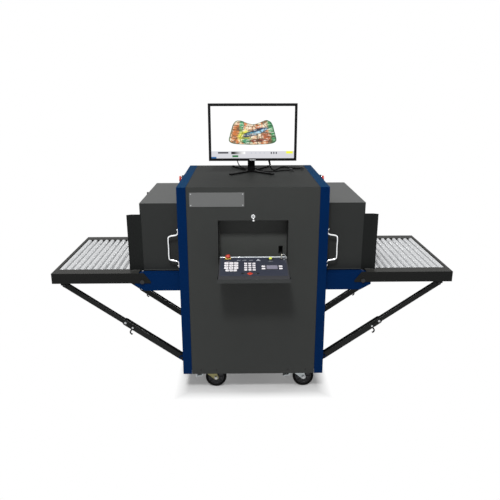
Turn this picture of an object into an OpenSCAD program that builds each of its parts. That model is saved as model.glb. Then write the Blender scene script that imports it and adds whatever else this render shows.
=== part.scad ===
// Baggage x-ray scanner on casters, with a roller table that folds down at each end.
// Millimetres. X runs along the conveyor, the operator stands on the -Y side, +Z is up.
// The origin is on the floor under the middle of the cabinet.

/* [Cabinet] */
// Width of the cabinet along the conveyor
cab_w = 820; // [780:10:900]
// Depth of the cabinet
cab_d = 845; // [845:5:960]
// Height of the cabinet above the tunnel's roof
roof_gap = 151; // [146:1:180]
// Gap between the floor and the lower edge of the walls
skirt_gap = 132; // [132:1:136]
// Width of the coloured corner strips
post_w = 50; // [40:1:60]
// Thickness of the side frames' plate
frame_t = 3; // [2:0.5:4]
// Thickness of the front, rear and top panels
panel_t = 2; // [1.5:0.5:3]

/* [Conveyor] */
// Height of the tables' top above the floor
table_z = 750; // [740:2:760]
// Width of the bag tunnel
tunnel_w = 534; // [500:2:540]
// Height of the bag tunnel above the belt
tunnel_h = 340; // [320:2:350]
// Gap between the belt's edges and the tunnel's walls
belt_gap = 12; // [11:1:30]
// Thickness of the belt
belt_t = 3; // [2:0.5:4]
// Radius of the belt drums
drum_r = 30; // [26:1:32]
// Distance of each drum from the cabinet's side
drum_out = 172; // [160:1:174]

/* [Tunnel boxes] */
// Projection of each box from the cabinet's side
box_out = 218; // [212:1:222]
// Width of each box across the conveyor
box_w = 660; // [640:2:664]
// Height of each box
box_h = 389; // [380:1:420]
// Thickness of the boxes' sheet
box_t = 3; // [2:0.5:4]
// Length of the guard plates beyond the box
guard_len = 72; // [60:1:80]
// Height of the guard plates
guard_h = 323; // [300:1:340]
// Number of curtain strips in each mouth
curtain_count = 10; // [8:1:12]

/* [Tables] */
// Distance of the fold pivot from the cabinet's side
pivot_out = 215; // [212:1:218]
// Length of each table from its fold pivot
table_len = 509; // [500:1:520]
// Width of each table over its side rails
table_w = 776; // [770:1:784]
// Height of the side rails
rail_h = 60; // [54:1:62]
// Width of the side rails' top flange
rail_w = 75; // [70:1:78]
// Thickness of the rails' sheet
rail_t = 3; // [2:0.5:3.5]
// Number of rollers in each table
roller_count = 12; // [12:1:12]
// Diameter of a roller
roller_d = 30; // [26:1:33]
// Distance between rollers
roller_pitch = 38.4; // [36:0.2:39]
// Diameter of the rollers' axles
axle_d = 8; // [6:0.5:10]
// Height of the support arms
arm_h = 102; // [90:1:110]
// Width of the support arms
arm_w = 50; // [46:1:50]

/* [Braces] */
// Distance of the braces from the middle of the machine
brace_y = 285; // [280:1:288]
// Distance of a brace's lower pin from the cabinet's side
foot_out = 21; // [20:1:24]
// Height of a brace's lower pin above the floor
foot_z = 178; // [174:1:190]
// Distance of a brace's upper pin from the cabinet's side
head_out = 685; // [675:1:690]
// Depth of a brace's upper pin below the table's top
head_drop = 102; // [98:1:106]
// Length of the lower link between its pins
lower_len = 400; // [390:1:410]
// Height of the lower link's channel
lower_h = 35; // [31:1:38]
// Width of the lower link's channel
lower_w = 32; // [30:1:34]
// Height of the upper link's channel
upper_h = 27; // [24:1:28]
// Width of the upper link's channel
upper_w = 24; // [20:1:24]
// Diameter of the braces' pins
pin_d = 10; // [8:0.5:11]

/* [Console] */
// Width of the console bay's opening
bay_w = 384; // [370:2:400]
// Width of the plain badge plate
badge_w = 294; // [200:2:300]
// Height of the plain badge plate
badge_h = 77; // [50:1:90]
// Height of the bay's upper edge above the floor
bay_top = 1061; // [1059:1:1070]
// Clearance between the console bay and the tunnel
bay_gap = 40.5; // [20:0.5:46]
// Height of the tray's underside above the floor
tray_z = 793; // [792:1:800]
// Length of the tray from its hinge
tray_len = 260; // [252:1:260]
// Height of the tray's rim
tray_rim = 20; // [16:1:24]
// Height of the keypad at its rear edge
keypad_rear = 60; // [50:1:62]
// Height of the keypad at its front edge
keypad_front = 18; // [12:1:20]

/* [Interior] */
// Width of the x-ray generator's tank over its fins
generator_w = 300; // [240:5:320]
// Height of the x-ray generator's tank
generator_h = 250; // [200:5:260]
// Width of the detector boards along the conveyor
detector_w = 70; // [50:2:90]
// Height of the detector boards over the tunnel
detector_h = 50; // [36:1:56]
// Gap between the computer and the x-ray generator
computer_gap = 35; // [20:1:60]
// Length of the computer
computer_len = 380; // [320:5:420]
// Height of the computer
computer_h = 370; // [320:5:375]

/* [Monitor] */
// Width of the monitor
monitor_w = 540; // [500:2:560]
// Height of the monitor
monitor_h = 343; // [330:1:360]
// Thickness of the monitor at its edge
monitor_t = 20; // [16:1:22]
// Height of the monitor's lower edge above the cabinet
monitor_lift = 73; // [70:1:84]
// Length of the stand's longer legs
stand_len = 273; // [240:1:280]
// Width of the stand's neck
neck_w = 45; // [38:1:50]

/* [Casters] */
// Diameter of the caster wheels
wheel_d = 127; // [120:1:128]
// Width of the caster wheels
wheel_w = 32; // [26:1:34]
// Distance of a wheel's axle from its swivel
trail = 42; // [38:1:46]
// Distance of the swivels inwards from the cabinet's sides
caster_in_x = 145; // [140:1:180]
// Distance of the swivels inwards from the cabinet's front and rear
caster_in_y = 96.5; // [94.5:0.5:120.5]
// Height of the casters, from the floor to the base frame
caster_h = 155; // [154:1:160]

/* [Controls] */
// Diameter of the red stop buttons' heads
stop_d = 38; // [32:1:42]
// Travel of the stop buttons
stop_travel = 4; // [3:0.5:5]
// Length of the pull handles' grip
handle_len = 120; // [100:1:130]
// Distance of the grip from the cabinet's side
handle_out = 60; // [50:1:64]
// Distance of the handles from the tunnel boxes
handle_gap = 40.5; // [30:0.5:44]
// Diameter of the pull handles' rod
handle_d = 10; // [8:0.5:12]

/* [Hidden] */
$fn = 48;

// Clearances: between parts that touch, between sheets that slide, and round a running shaft
touch = 0.3;
slide = 1;
running = 0.05;

// The cabinet's faces
side_x = cab_w / 2;
face_y = cab_d / 2;
panel_w = cab_w - 2 * post_w;
return_y = face_y - frame_t;

// The conveyor
belt_z = table_z - 2;
bed_z = belt_z - belt_t;
belt_w = tunnel_w - 2 * belt_gap;
bed_t = 3;
drum_x = side_x + drum_out;
drum_z = bed_z - drum_r;
bed_side_y = tunnel_w / 2 - 4;
bed_bottom = drum_z - drum_r - belt_t - 6;
tunnel_t = 3;
tunnel_top = belt_z + tunnel_h;
cab_top = tunnel_top + tunnel_t + roof_gap;

// The boxes, the support arms and the tables
box_x = side_x + box_out;
box_z = table_z - 1;
pivot_x = side_x + pivot_out;
pivot_z = table_z - 51;
rail_y = table_w / 2;
arm_y = rail_y - rail_t - slide;
arm_top = table_z - 4;
table_x = pivot_x + table_len;
flange_x = pivot_x + 20;
lug_len = 48;
roller_z = table_z + 2 - roller_d / 2;
roller_1_x = table_x - 33;
roller_y = rail_y - rail_w;
spinning_rollers = 6;

// The braces, drawn in a frame that lies along the line between their outer pins
foot_x = side_x + foot_out;
head_x = side_x + head_out;
head_z = table_z - head_drop;
brace_len = norm([head_x - foot_x, head_z - foot_z]);
brace_angle = atan2(head_z - foot_z, head_x - foot_x);
upper_len = brace_len - lower_len;
link_t = 2.5;
fork_len = 130;
ear_t = 3;
latch_at = lower_len - 52;
link_hole_at = 145;

// Inside the cabinet
base_t = 4;
base_z = caster_h + base_t;
beam = 40;
beam_inset = 6;
cross_in = 170;
cross_x = side_x - cross_in;
lug_low = 60;
lug_high = 140;
frame_top = cab_top - 40;
panel_edge = frame_t + beam_inset;
top_skirt = 20;
computer_x = frame_t + beam_inset + beam + 6 - side_x;
computer_w = -computer_x - generator_w / 2 - computer_gap;
fins = 9;
fin_t = 4;
fin_h = 20;

// The console
bay_bottom = tray_z - touch;
bay_depth = face_y - tunnel_w / 2 - tunnel_t - bay_gap;
badge_inset = 17;
tray_w = bay_w - 4;
tray_axis_y = panel_t + 4 - face_y;
tray_axis_z = tray_z + 6;
tray_front = tray_axis_y - tray_len;
tray_t = 2;
keypad_w = tray_w - 12;
keypad_len = tray_len - 16;
keypad_y = tray_front + 6;
keypad_angle = atan2(keypad_rear - keypad_front, keypad_len);
stop_at = [-138, 22];
power_at = [94, 28];
key_at = [154, 29];
belt_key_in = 50;
small_key_in = 56;

// The monitor
monitor_x = 8;
monitor_y = 86;
monitor_z = cab_top + monitor_lift;
bulge_z = monitor_z + 62;
bulge_h = 170;
bulge_t = 30;
socket_y = monitor_y + monitor_t + 21;
tilt_y = monitor_y + 38;
tilt_z = monitor_z + 122;
stand_y = tilt_y + 18;
hub_d = 70;

// The stop buttons on the side frames
side_stop_z = cab_top - 23;
collar_h = 12;
stop_shaft = 16;

// The casters
caster_x = side_x - caster_in_x;
caster_y = face_y - caster_in_y;
wheel_z = wheel_d / 2;
plate_t = 3;
crown_z = wheel_d + 8;
fork_t = 3;
fork_gap = 2;
pedal_x = -21;
pedal_z = wheel_z + 42;
pedal_pin = 8;

// Routes of the two cables from the monitor to the cable entries on the top panel
video_d = 6;
power_d = 8;
video_entry = [panel_w / 2 - 117, stand_y + 16, cab_top];
power_entry = [panel_w / 2 - 42, stand_y + 101, cab_top];
video_route = [
    [-89, 127, 1369.5], [-89, 127, 1344], [-87, 128, 1315], [-79, 134, 1287], [-60, 151, 1266],
    [-36, 169, 1258], [-5, 177, 1257], [27, 166, 1256.5], [53, 141, 1249.5], [79, 119, 1245.6],
    [110, 109, 1245.4], [145, 116, 1245.4], [180, 142, 1245.4],
    video_entry + [-33, 0, 3.4], video_entry + [0, 0, 3.4]
];
power_route = [
    [121, 144, 1271], [129, 151, 1257], [139, 162, 1248.6], [152, 183, 1246.4], [165, 214, 1246.4],
    [178, 252, 1246.4], [195, 291, 1246.4], [216, 309, 1246.4], [237, 300, 1246.4],
    [250, 277, 1246.4], [266, 256, 1246.4], power_entry + [-30, 0, 4.4], power_entry + [0, 0, 4.4]
];

// Draws its children on the right (side = 1) or mirrored to the left (side = -1)
module on_side(side) {
    if (side > 0) children(); else mirror([1, 0, 0]) children();
}

// Draws its children at the front and, mirrored, at the rear
module front_and_rear() {
    children();
    mirror([0, 1, 0]) children();
}

// A box given by its low and high corners
module block(low, high) {
    translate(low) cube(high - low);
}

// A cylinder along Y between two values of Y
module rod_y(x, z, d, y0, y1) {
    translate([x, y1, z]) rotate([90, 0, 0]) cylinder(d = d, h = y1 - y0);
}

// A cylinder along X between two values of X
module rod_x(y, z, d, x0, x1) {
    translate([x0, y, z]) rotate([0, 90, 0]) cylinder(d = d, h = x1 - x0);
}

// A plate in the XZ plane: a 2D outline pulled along Y from y0 to y1
module plate_y(y0, y1) {
    translate([0, y1, 0]) rotate([90, 0, 0]) linear_extrude(height = y1 - y0) children();
}

// ---- Cabinet ----

module chassis() {
    x = side_x - frame_t - beam_inset;
    y = face_y - frame_t - beam_inset;
    top = frame_top;
    color("#2b2d2d") union() {
        // Base plate on four beams
        block([-x, -y, caster_h], [x, y, base_z]);
        for (sy = [-1, 1]) block([-x, sy * (y - beam / 2) - beam / 2, caster_h],
                                 [x, sy * (y - beam / 2) + beam / 2, caster_h + beam]);
        for (sx = [-1, 1]) block([sx * (x - beam / 2) - beam / 2, -y, caster_h],
                                 [sx * (x - beam / 2) + beam / 2, y, caster_h + beam]);
        // Four uprights with a beam along each side at the top
        for (sx = [-1, 1], sy = [-1, 1])
            block([sx * (x - beam / 2) - beam / 2, sy * (y - beam / 2) - beam / 2, caster_h],
                  [sx * (x - beam / 2) + beam / 2, sy * (y - beam / 2) + beam / 2, top]);
        for (sx = [-1, 1]) block([sx * (x - beam / 2) - beam / 2, -y, top - beam],
                                 [sx * (x - beam / 2) + beam / 2, y, top]);
        // Two cross beams that carry the conveyor bed
        for (sx = [-1, 1])
            block([sx * cross_x - beam / 2, -y, bed_bottom - beam],
                  [sx * cross_x + beam / 2, y, bed_bottom]);
        for (sx = [-1, 1], sy = [-1, 1])
            block([min(sx * (cross_x - beam / 2), sx * x), sy * (y - beam / 2) - beam / 2, bed_bottom - beam],
                  [max(sx * (cross_x - beam / 2), sx * x), sy * (y - beam / 2) + beam / 2, bed_bottom]);
        // Lugs that the panels and side frames are bolted to
        for (sx = [-1, 1], sy = [-1, 1], z = [caster_h + lug_low, cab_top - lug_high]) {
            block([sx * (x - 20) - 15, min(sy * (y - 1), sy * (face_y - frame_t)), z],
                  [sx * (x - 20) + 15, max(sy * (y - 1), sy * (face_y - frame_t)), z + 30]);
            block([min(sx * (x - 1), sx * (side_x - frame_t)), sy * (y - 20) - 15, z],
                  [max(sx * (x - 1), sx * (side_x - frame_t)), sy * (y - 20) + 15, z + 30]);
        }
        // Top plates and kingpins of the four casters
        for (sx = [-1, 1], sy = [-1, 1]) translate([sx * caster_x, sy * caster_y, 0]) {
            translate([-47, -38, caster_h - plate_t]) cube([94, 76, plate_t + 0.5]);
            translate([0, 0, crown_z + 2]) cylinder(d = 14, h = caster_h - crown_z);
        }
    }
}

// One side of the cabinet: a plate with an edge returned onto the front, top and rear,
// two support arms with the tables' pivot bores, and the lugs of the braces
module side_frame() {
    open_y = bed_side_y + 8;
    union() {
        difference() {
            block([side_x - frame_t, -face_y, skirt_gap], [side_x, face_y, cab_top]);
            block([side_x - 10, -open_y, bed_bottom - touch],
                  [side_x + 10, open_y, tunnel_top + tunnel_t + touch]);
            rod_x(0, side_stop_z, stop_shaft + 2 * running, side_x - frame_t - 1, side_x + 1);
        }
        front_and_rear() block([side_x - post_w, -face_y, skirt_gap], [side_x, -return_y, cab_top]);
        block([side_x - post_w, -face_y, cab_top - frame_t], [side_x, face_y, cab_top]);
        front_and_rear() {
            support_arm();
            brace_lug();
        }
        // Collar of the stop button
        difference() {
            rod_x(0, side_stop_z, stop_d + 6, side_x - 1, side_x + collar_h);
            rod_x(0, side_stop_z, stop_shaft + 2 * running, side_x - 2, side_x + collar_h + 1);
        }
    }
}

// A square tube, closed at its end, with a round nose that the folding rail turns about
module support_arm() {
    nose = 46;
    low = arm_top - arm_h;
    slope_x = pivot_x - 10;
    wall = 3;
    difference() {
        plate_y(-arm_y, -arm_y + arm_w) difference() {
            union() {
                polygon([[side_x - 1, low], [slope_x, low], [pivot_x + nose, pivot_z - 23],
                         [pivot_x + nose, pivot_z], [pivot_x, pivot_z], [pivot_x, arm_top],
                         [side_x - 1, arm_top]]);
                intersection() {
                    translate([pivot_x, pivot_z]) circle(r = nose);
                    translate([pivot_x - 1, pivot_z]) square([nose + 2, nose + 2]);
                }
            }
            translate([pivot_x, pivot_z]) circle(d = pin_d + 2 + 2 * running);
        }
        block([side_x, -arm_y + wall, low + wall], [pivot_x - 20, -arm_y + arm_w - wall, arm_top - wall]);
    }
}

// Two ears that hold a brace's lower pin
module brace_lug() {
    ear = 15;
    for (s = [-1, 1]) {
        y = -brace_y + s * (lower_w / 2 + slide + ear_t / 2);
        plate_y(y - ear_t / 2, y + ear_t / 2) difference() {
            union() {
                translate([foot_x, foot_z]) circle(r = ear);
                translate([side_x - 1, foot_z - ear - 6]) square([foot_out + 1, 2 * ear + 6]);
            }
            translate([foot_x, foot_z]) circle(d = pin_d + 2 * running);
        }
    }
}

module left_side_frame() { color("#0a2c5e") on_side(-1) side_frame(); }
module right_side_frame() { color("#0a2c5e") on_side(1) side_frame(); }

// Front door with the console bay behind its opening
module front_panel() {
    w = panel_w / 2 - slide;
    bay_z = bay_bottom;
    color("#3b3d3c") difference() {
        union() {
            difference() {
                block([-w, -face_y, skirt_gap], [w, -face_y + panel_t, cab_top - slide]);
                block([-bay_w / 2, -face_y - 1, bay_z], [bay_w / 2, -face_y + panel_t + 1, bay_top]);
            }
            // Edges turned inwards
            for (s = [-1, 1]) block([s * (w - panel_t / 2) - panel_t / 2, -face_y, skirt_gap],
                                    [s * (w - panel_t / 2) + panel_t / 2, -face_y + panel_edge,
                                     cab_top - top_skirt - slide]);
            // Walls of the bay
            difference() {
                block([-bay_w / 2 - panel_t, -face_y + 0.5, bay_z - panel_t],
                      [bay_w / 2 + panel_t, -face_y + bay_depth, bay_top + panel_t]);
                block([-bay_w / 2, -face_y - 1, bay_z],
                      [bay_w / 2, -face_y + bay_depth - panel_t, bay_top]);
                // Slot for the keypad's lead
                block([bay_w / 2 - 43, -face_y + bay_depth - 2 * panel_t, bay_z + 50],
                      [bay_w / 2 - 23, -face_y + bay_depth + 1, bay_z + 90]);
            }
            // Pins of the tray's hinge
            for (s = [-1, 1])
                rod_x(tray_axis_y, tray_axis_z, 6, min(s * (bay_w / 2 + 1), s * (tray_w / 2 - 5)),
                      max(s * (bay_w / 2 + 1), s * (tray_w / 2 - 5)));
            // Key lock and the plain badge plate
            rod_y(0, bay_top + 22, 20, -face_y - 4, -face_y + 22);
            block([badge_inset - w, -face_y - 1.5, cab_top - 28 - badge_h],
                  [badge_inset - w + badge_w, -face_y + 0.5, cab_top - 28]);
        }
        block([-1, -face_y - 5, bay_top + 17], [1, -face_y - 1, bay_top + 27]);
    }
}

module rear_panel() {
    w = panel_w / 2 - slide;
    inlet = [110 - w, skirt_gap + 120];
    color("#3b3d3c") difference() {
        union() {
            block([-w, face_y - panel_t, skirt_gap], [w, face_y, cab_top - slide]);
            for (s = [-1, 1]) block([s * (w - panel_t / 2) - panel_t / 2, face_y - panel_edge, skirt_gap],
                                    [s * (w - panel_t / 2) + panel_t / 2, face_y,
                                     cab_top - top_skirt - slide]);
            block([inlet[0] - 32, face_y - 12, inlet[1] - 26], [inlet[0] + 32, face_y + 2, inlet[1] + 26]);
        }
        // Air slots
        for (sx = [-1, 1], row = [0:7])
            block([sx * w / 2 - 70, face_y - panel_t - 1, skirt_gap + 260 + row * 18],
                  [sx * w / 2 + 70, face_y + 1, skirt_gap + 266 + row * 18]);
        // Mouth of the mains inlet, with its pins left standing
        difference() {
            block([inlet[0] - 13.5, face_y - 9, inlet[1] - 9], [inlet[0] + 13.5, face_y + 3, inlet[1] + 9]);
            for (dx = [-7, 0, 7]) block([inlet[0] + dx - 1, face_y - 10, inlet[1] - 3],
                                        [inlet[0] + dx + 1, face_y - 1, inlet[1] + 3]);
        }
    }
}

// Low sloped cover over a cable hole, open towards -X
module cable_entry(at) {
    translate([at[0] + touch, at[1], cab_top]) rotate([90, 0, 0]) translate([0, 0, -15])
        linear_extrude(height = 30)
            polygon([[0, 0], [26, 0], [26, 4], [14, 15], [0, 15]]);
}

module top_panel() {
    w = panel_w / 2 - slide;
    d = face_y - panel_t - slide;
    color("#474948") union() {
        block([-w, -d, cab_top - panel_t], [w, d, cab_top]);
        front_and_rear() block([-w, -d, cab_top - top_skirt], [w, -d + panel_t, cab_top]);
        for (s = [-1, 1]) block([s * (w - panel_t / 2) - panel_t / 2, -d, cab_top - top_skirt],
                                [s * (w - panel_t / 2) + panel_t / 2, d, cab_top]);
        // Flanges that rest on the chassis' upper side beams
        for (side = [-1, 1]) on_side(side) {
            block([w - panel_t, 8 - d, frame_top], [w, d - 8, cab_top - top_skirt + 1]);
            block([w - panel_t, 20 - d, frame_top], [w + 22, d - 20, frame_top + panel_t]);
        }
        for (s = [-1, 1]) block([s * (w - 59) - 15, -d, cab_top - 41], [s * (w - 59) + 15, d, cab_top - 1]);
        cable_entry(video_entry);
        cable_entry(power_entry);
    }
}

// ---- Tunnel and conveyor ----

// Lined bag tunnel through the cabinet, open at the bottom over the belt
module tunnel() {
    x = side_x - frame_t - touch;
    y = tunnel_w / 2;
    color("#4a4c4b") difference() {
        block([-x, -y - tunnel_t, bed_z - 12], [x, y + tunnel_t, tunnel_top + tunnel_t]);
        block([-x - 1, -y, bed_z - 13], [x + 1, y, tunnel_top]);
        // Slits for the x-ray fan
        block([-2, -y + 20, tunnel_top - 1], [2, y + tunnel_t + 1, tunnel_top + tunnel_t + 1]);
    }
}

// Hood over the belt's end: outer shell, mouth, liner, curtain rail and the two guard plates
module tunnel_box() {
    y = box_w / 2;
    top = box_z + box_h;
    mouth_y = tunnel_w / 2;
    rail_x = box_x - 42;
    union() {
        difference() {
            block([side_x, -y, box_z], [box_x, y, top]);
            block([side_x - 1, -y + box_t, box_z - 1], [box_x - box_t, y - box_t, top - box_t]);
            block([side_x - 1, -mouth_y, box_z - 1], [box_x + 1, mouth_y, tunnel_top]);
        }
        difference() {
            block([side_x, -mouth_y - tunnel_t, box_z],
                  [box_x - 1, mouth_y + tunnel_t, tunnel_top + tunnel_t]);
            block([side_x - 1, -mouth_y, box_z - 1], [box_x + 1, mouth_y, tunnel_top]);
        }
        // Rail that the curtain strips hang from
        block([rail_x, -mouth_y - 1, tunnel_top - 14], [rail_x + 5, mouth_y + 1, tunnel_top + 1]);
        // Guard plates, bent outwards at their free edge
        front_and_rear() guard_plate();
    }
}

module guard_plate() {
    y = box_w / 2;
    flare = 24;
    z = table_z + 2;
    block([box_x - 2, -y, z], [box_x + guard_len - flare, -y + box_t, z + guard_h]);
    translate([0, 0, z]) linear_extrude(height = guard_h)
        polygon([[box_x + guard_len - flare - 0.5, -y], [box_x + guard_len, -y - 12],
                 [box_x + guard_len, -y - 12 + box_t], [box_x + guard_len - flare - 0.5, -y + box_t]]);
}

module left_tunnel_box() { color("#303231") on_side(-1) tunnel_box(); }
module right_tunnel_box() { color("#303231") on_side(1) tunnel_box(); }

// Strips of shielding rubber that hang in both mouths
module curtains() {
    x = box_x - 42 + 5;
    w = (tunnel_w - 6) / curtain_count;
    color("#1b1b1b") for (side = [-1, 1], i = [0:curtain_count - 1])
        on_side(side) block([x + touch, -tunnel_w / 2 + 3 + i * w, belt_z + 6],
                            [x + touch + 3, -tunnel_w / 2 + 3 + (i + 1) * w - 1.5, tunnel_top - 2]);
}

// Slider bed: top plate, side plates with the drums' bearings, ties and a bottom cover
module conveyor_bed() {
    end_x = drum_x + 16;
    y = bed_side_y;
    plate_x = drum_x - drum_r - belt_t - 6;
    inner = y - 4 - bed_t;
    lead_x = drum_x + drum_r + belt_t + 2;
    color("#8b8f90") difference() {
        union() {
            block([-plate_x, -inner, bed_z - bed_t], [plate_x, inner, bed_z]);
            for (s = [-1, 1]) {
                block([-end_x, s * (y - 1.5) - 1.5, bed_bottom], [end_x, s * (y - 1.5) + 1.5, bed_z - 1]);
                block([-plate_x, s * (y - 6) - 4, bed_z - 9], [plate_x, s * (y - 6) + 4, bed_z - 1]);
                for (sx = [-1, 1])
                    rod_y(sx * drum_x, drum_z, 32, s * (y - 2.75) - 2.75, s * (y - 2.75) + 2.75);
            }
            block([-end_x, -y, bed_bottom], [end_x, y, bed_bottom + 2]);
            for (sx = [-1, 1]) block([sx * 120 - 15, -y, bed_z - bed_t - 18],
                                     [sx * 120 + 15, y, bed_z - bed_t]);
            // Plate that leads from the belt to the first roller
            for (side = [-1, 1]) on_side(side) {
                block([lead_x, -y + 12, belt_z - 6],
                      [roller_x(roller_count) - roller_d / 2 - 3, y - 12, belt_z - 1]);
                for (s = [-1, 1]) {
                    block([end_x - 4, s * (y - 1.5) - 1.5, belt_z - 14],
                          [lead_x + 10, s * (y - 1.5) + 1.5, belt_z - 6]);
                    block([lead_x, s * (y - 9) - 9, belt_z - 14],
                          [lead_x + 10, s * (y - 9) + 9, belt_z - 5.5]);
                }
            }
        }
        for (sx = [-1, 1]) rod_y(sx * drum_x, drum_z, 16 + 2 * running, -y - 1, y + 1);
    }
}

// Endless belt round both drums
module belt() {
    color("#1d1e1f") plate_y(-belt_w / 2, belt_w / 2) difference() {
        belt_outline(drum_r + touch + belt_t - touch);
        belt_outline(drum_r + touch / 2);
    }
}

module belt_outline(r) {
    for (s = [-1, 1]) translate([s * drum_x, drum_z]) circle(r = r);
    translate([-drum_x, drum_z - r]) square([2 * drum_x, 2 * r]);
}

module drum(x) {
    y = bed_side_y;
    union() {
        rod_y(x, drum_z, 2 * drum_r, 6.5 - y, y - 6.5);
        rod_y(x, drum_z, 16, -y - 4, y + 4);
    }
}

module drive_drum() { color("#9a9da0") drum(drum_x); }
module tail_drum() { color("#9a9da0") drum(-drum_x); }

// ---- Inside the cabinet ----

// Sealed tank of the x-ray source, with its collimator, standing on the base plate
module xray_generator() {
    x = generator_w / 2;
    y = generator_w / 2 - fin_h;
    top = base_z + generator_h;
    neck = [60, 50];
    color("#6d7376") union() {
        block([-x, -y, base_z], [x, y, top]);
        for (i = [0:fins - 1]) translate([-x + i * (generator_w - fin_t) / (fins - 1), 0, 0])
            block([0, -y - fin_h, base_z + fin_h], [fin_t, y + fin_h, top - fin_h]);
        block([-neck[0], -neck[0], top], [neck[0], neck[0], top + neck[1]]);
        translate([0, 0, top + neck[1]]) cylinder(d = neck[0], h = 60);
        block([-12, -90, top + neck[1] + 60], [12, 90, top + neck[1] + 68]);
        translate([neck[0] / 2 + 20 - x, 0, top]) cylinder(d = neck[0], h = 70);
    }
}

// L-shaped row of detector boards, along one side of the tunnel and over its roof
module detector_array() {
    y = tunnel_w / 2 + tunnel_t + slide;
    z = tunnel_top + tunnel_t;
    w = detector_w / 2;
    board = w - 7;
    side_step = (z - bed_z - 30) / 10;
    roof_step = (2 * y - 50) / 13;
    color("#3f6b4f") union() {
        block([-w, y, bed_z + 20], [w, y + 26, z + detector_h]);
        block([-w, -y + 40, z], [w, y + 26, z + detector_h]);
        for (i = [0:9]) block([-board, y + 25, bed_z + 34 + i * side_step],
                              [board, y + 32, bed_z + 26 + (i + 1) * side_step]);
        for (i = [0:12]) block([-board, -y + 46 + i * roof_step, z + detector_h - 1],
                               [board, -y + 36 + (i + 1) * roof_step, z + detector_h + 8]);
    }
}

// Imaging computer on the base plate, with drive bays and a vent grille at the front
module computer() {
    x0 = computer_x;
    x1 = x0 + computer_w;
    y0 = -computer_len * 0.4;
    y1 = y0 + computer_len;
    bay_step = computer_h * 0.12;
    slot_step = computer_h * 0.037;
    color("#8f9496") difference() {
        block([x0, y0, base_z], [x1, y1, base_z + computer_h]);
        for (i = [1:3]) block([x0 + 15, y0 - 1, base_z + computer_h - 4 - i * bay_step],
                              [x1 - 15, y0 + 2, base_z + computer_h - 10 - (i - 1) * bay_step]);
        for (i = [2:11]) block([x0 + 20, y0 - 1, base_z + i * slot_step],
                               [x1 - 20, y0 + 3, base_z + (i + 0.45) * slot_step]);
        block([x0 - 1, y0 + 50, base_z + 60], [x0 + 2, y1 - 50, base_z + computer_h - 60]);
    }
}

// ---- Handles ----

// One bent rod: two feet flat on the cabinet's side, two legs and a grip, in the XZ plane
module grab_handle() {
    r = handle_d;
    foot = 34;
    wall_x = side_x + handle_d / 2 + touch / 3;
    grip_x = side_x + handle_out;
    z0 = box_z + 82;
    z1 = z0 + handle_len;
    translate([0, -box_w / 2 - handle_gap, 0]) {
        middle = (z0 + z1) / 2;
        for (m = [0, 1]) translate([0, 0, middle]) mirror([0, 0, m]) translate([0, 0, -middle]) {
            translate([wall_x, 0, z1 + 2 * r]) cylinder(d = handle_d, h = foot);
            bend([wall_x + r, 0, z1 + 2 * r], r, 180);
            translate([wall_x + r, 0, z1 + r]) rotate([0, 90, 0])
                cylinder(d = handle_d, h = grip_x - wall_x - 2 * r);
            bend([grip_x - r, 0, z1], r, 0);
        }
        translate([grip_x, 0, z0]) cylinder(d = handle_d, h = handle_len);
        // Screw bosses that join the feet to the cabinet's side
        for (z = [z0 - 2 * r - foot + 8, z1 + 2 * r + foot - 8]) rod_x(0, z, 8, side_x, wall_x);
    }
}

// A quarter turn of the handle's rod about an axis along Y
module bend(at, r, turn) {
    translate(at) rotate([90, turn, 0]) rotate_extrude(angle = 90) translate([r, 0]) circle(d = handle_d);
}

module grab_handles() {
    color("#c9cccd") for (side = [-1, 1]) on_side(side) front_and_rear() grab_handle();
}

// ---- Console ----

module console_tray() {
    w = tray_w / 2;
    color("#3d3f3e") difference() {
        union() {
            block([-w, tray_front, tray_z], [w, tray_axis_y, tray_z + tray_t]);
            block([-w, tray_front, tray_z], [w, tray_front + tray_t, tray_z + tray_rim]);
            for (s = [-1, 1]) {
                block([s * (w - tray_t / 2) - tray_t / 2, tray_front, tray_z],
                      [s * (w - tray_t / 2) + tray_t / 2, tray_axis_y, tray_z + tray_rim]);
                // Rounded ear round the hinge pin
                rod_x(tray_axis_y, tray_axis_z, 2 * (tray_axis_z - tray_z),
                      s * (w - tray_t / 2) - tray_t / 2, s * (w - tray_t / 2) + tray_t / 2);
            }
        }
        rod_x(tray_axis_y, tray_axis_z, 6 + 2 * running, -w - 1, w + 1);
    }
}

// Height of the keypad's top above the tray, a given distance in front of its rear edge
function keypad_top(back) = tray_z + tray_t + keypad_rear - back * tan(keypad_angle);

// Places its children on the sloped keypad, at x and a distance in front of the rear edge
module on_keypad(x, back) {
    translate([x, keypad_y + keypad_len - back, keypad_top(back)]) rotate([keypad_angle, 0, 0]) children();
}

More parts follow.
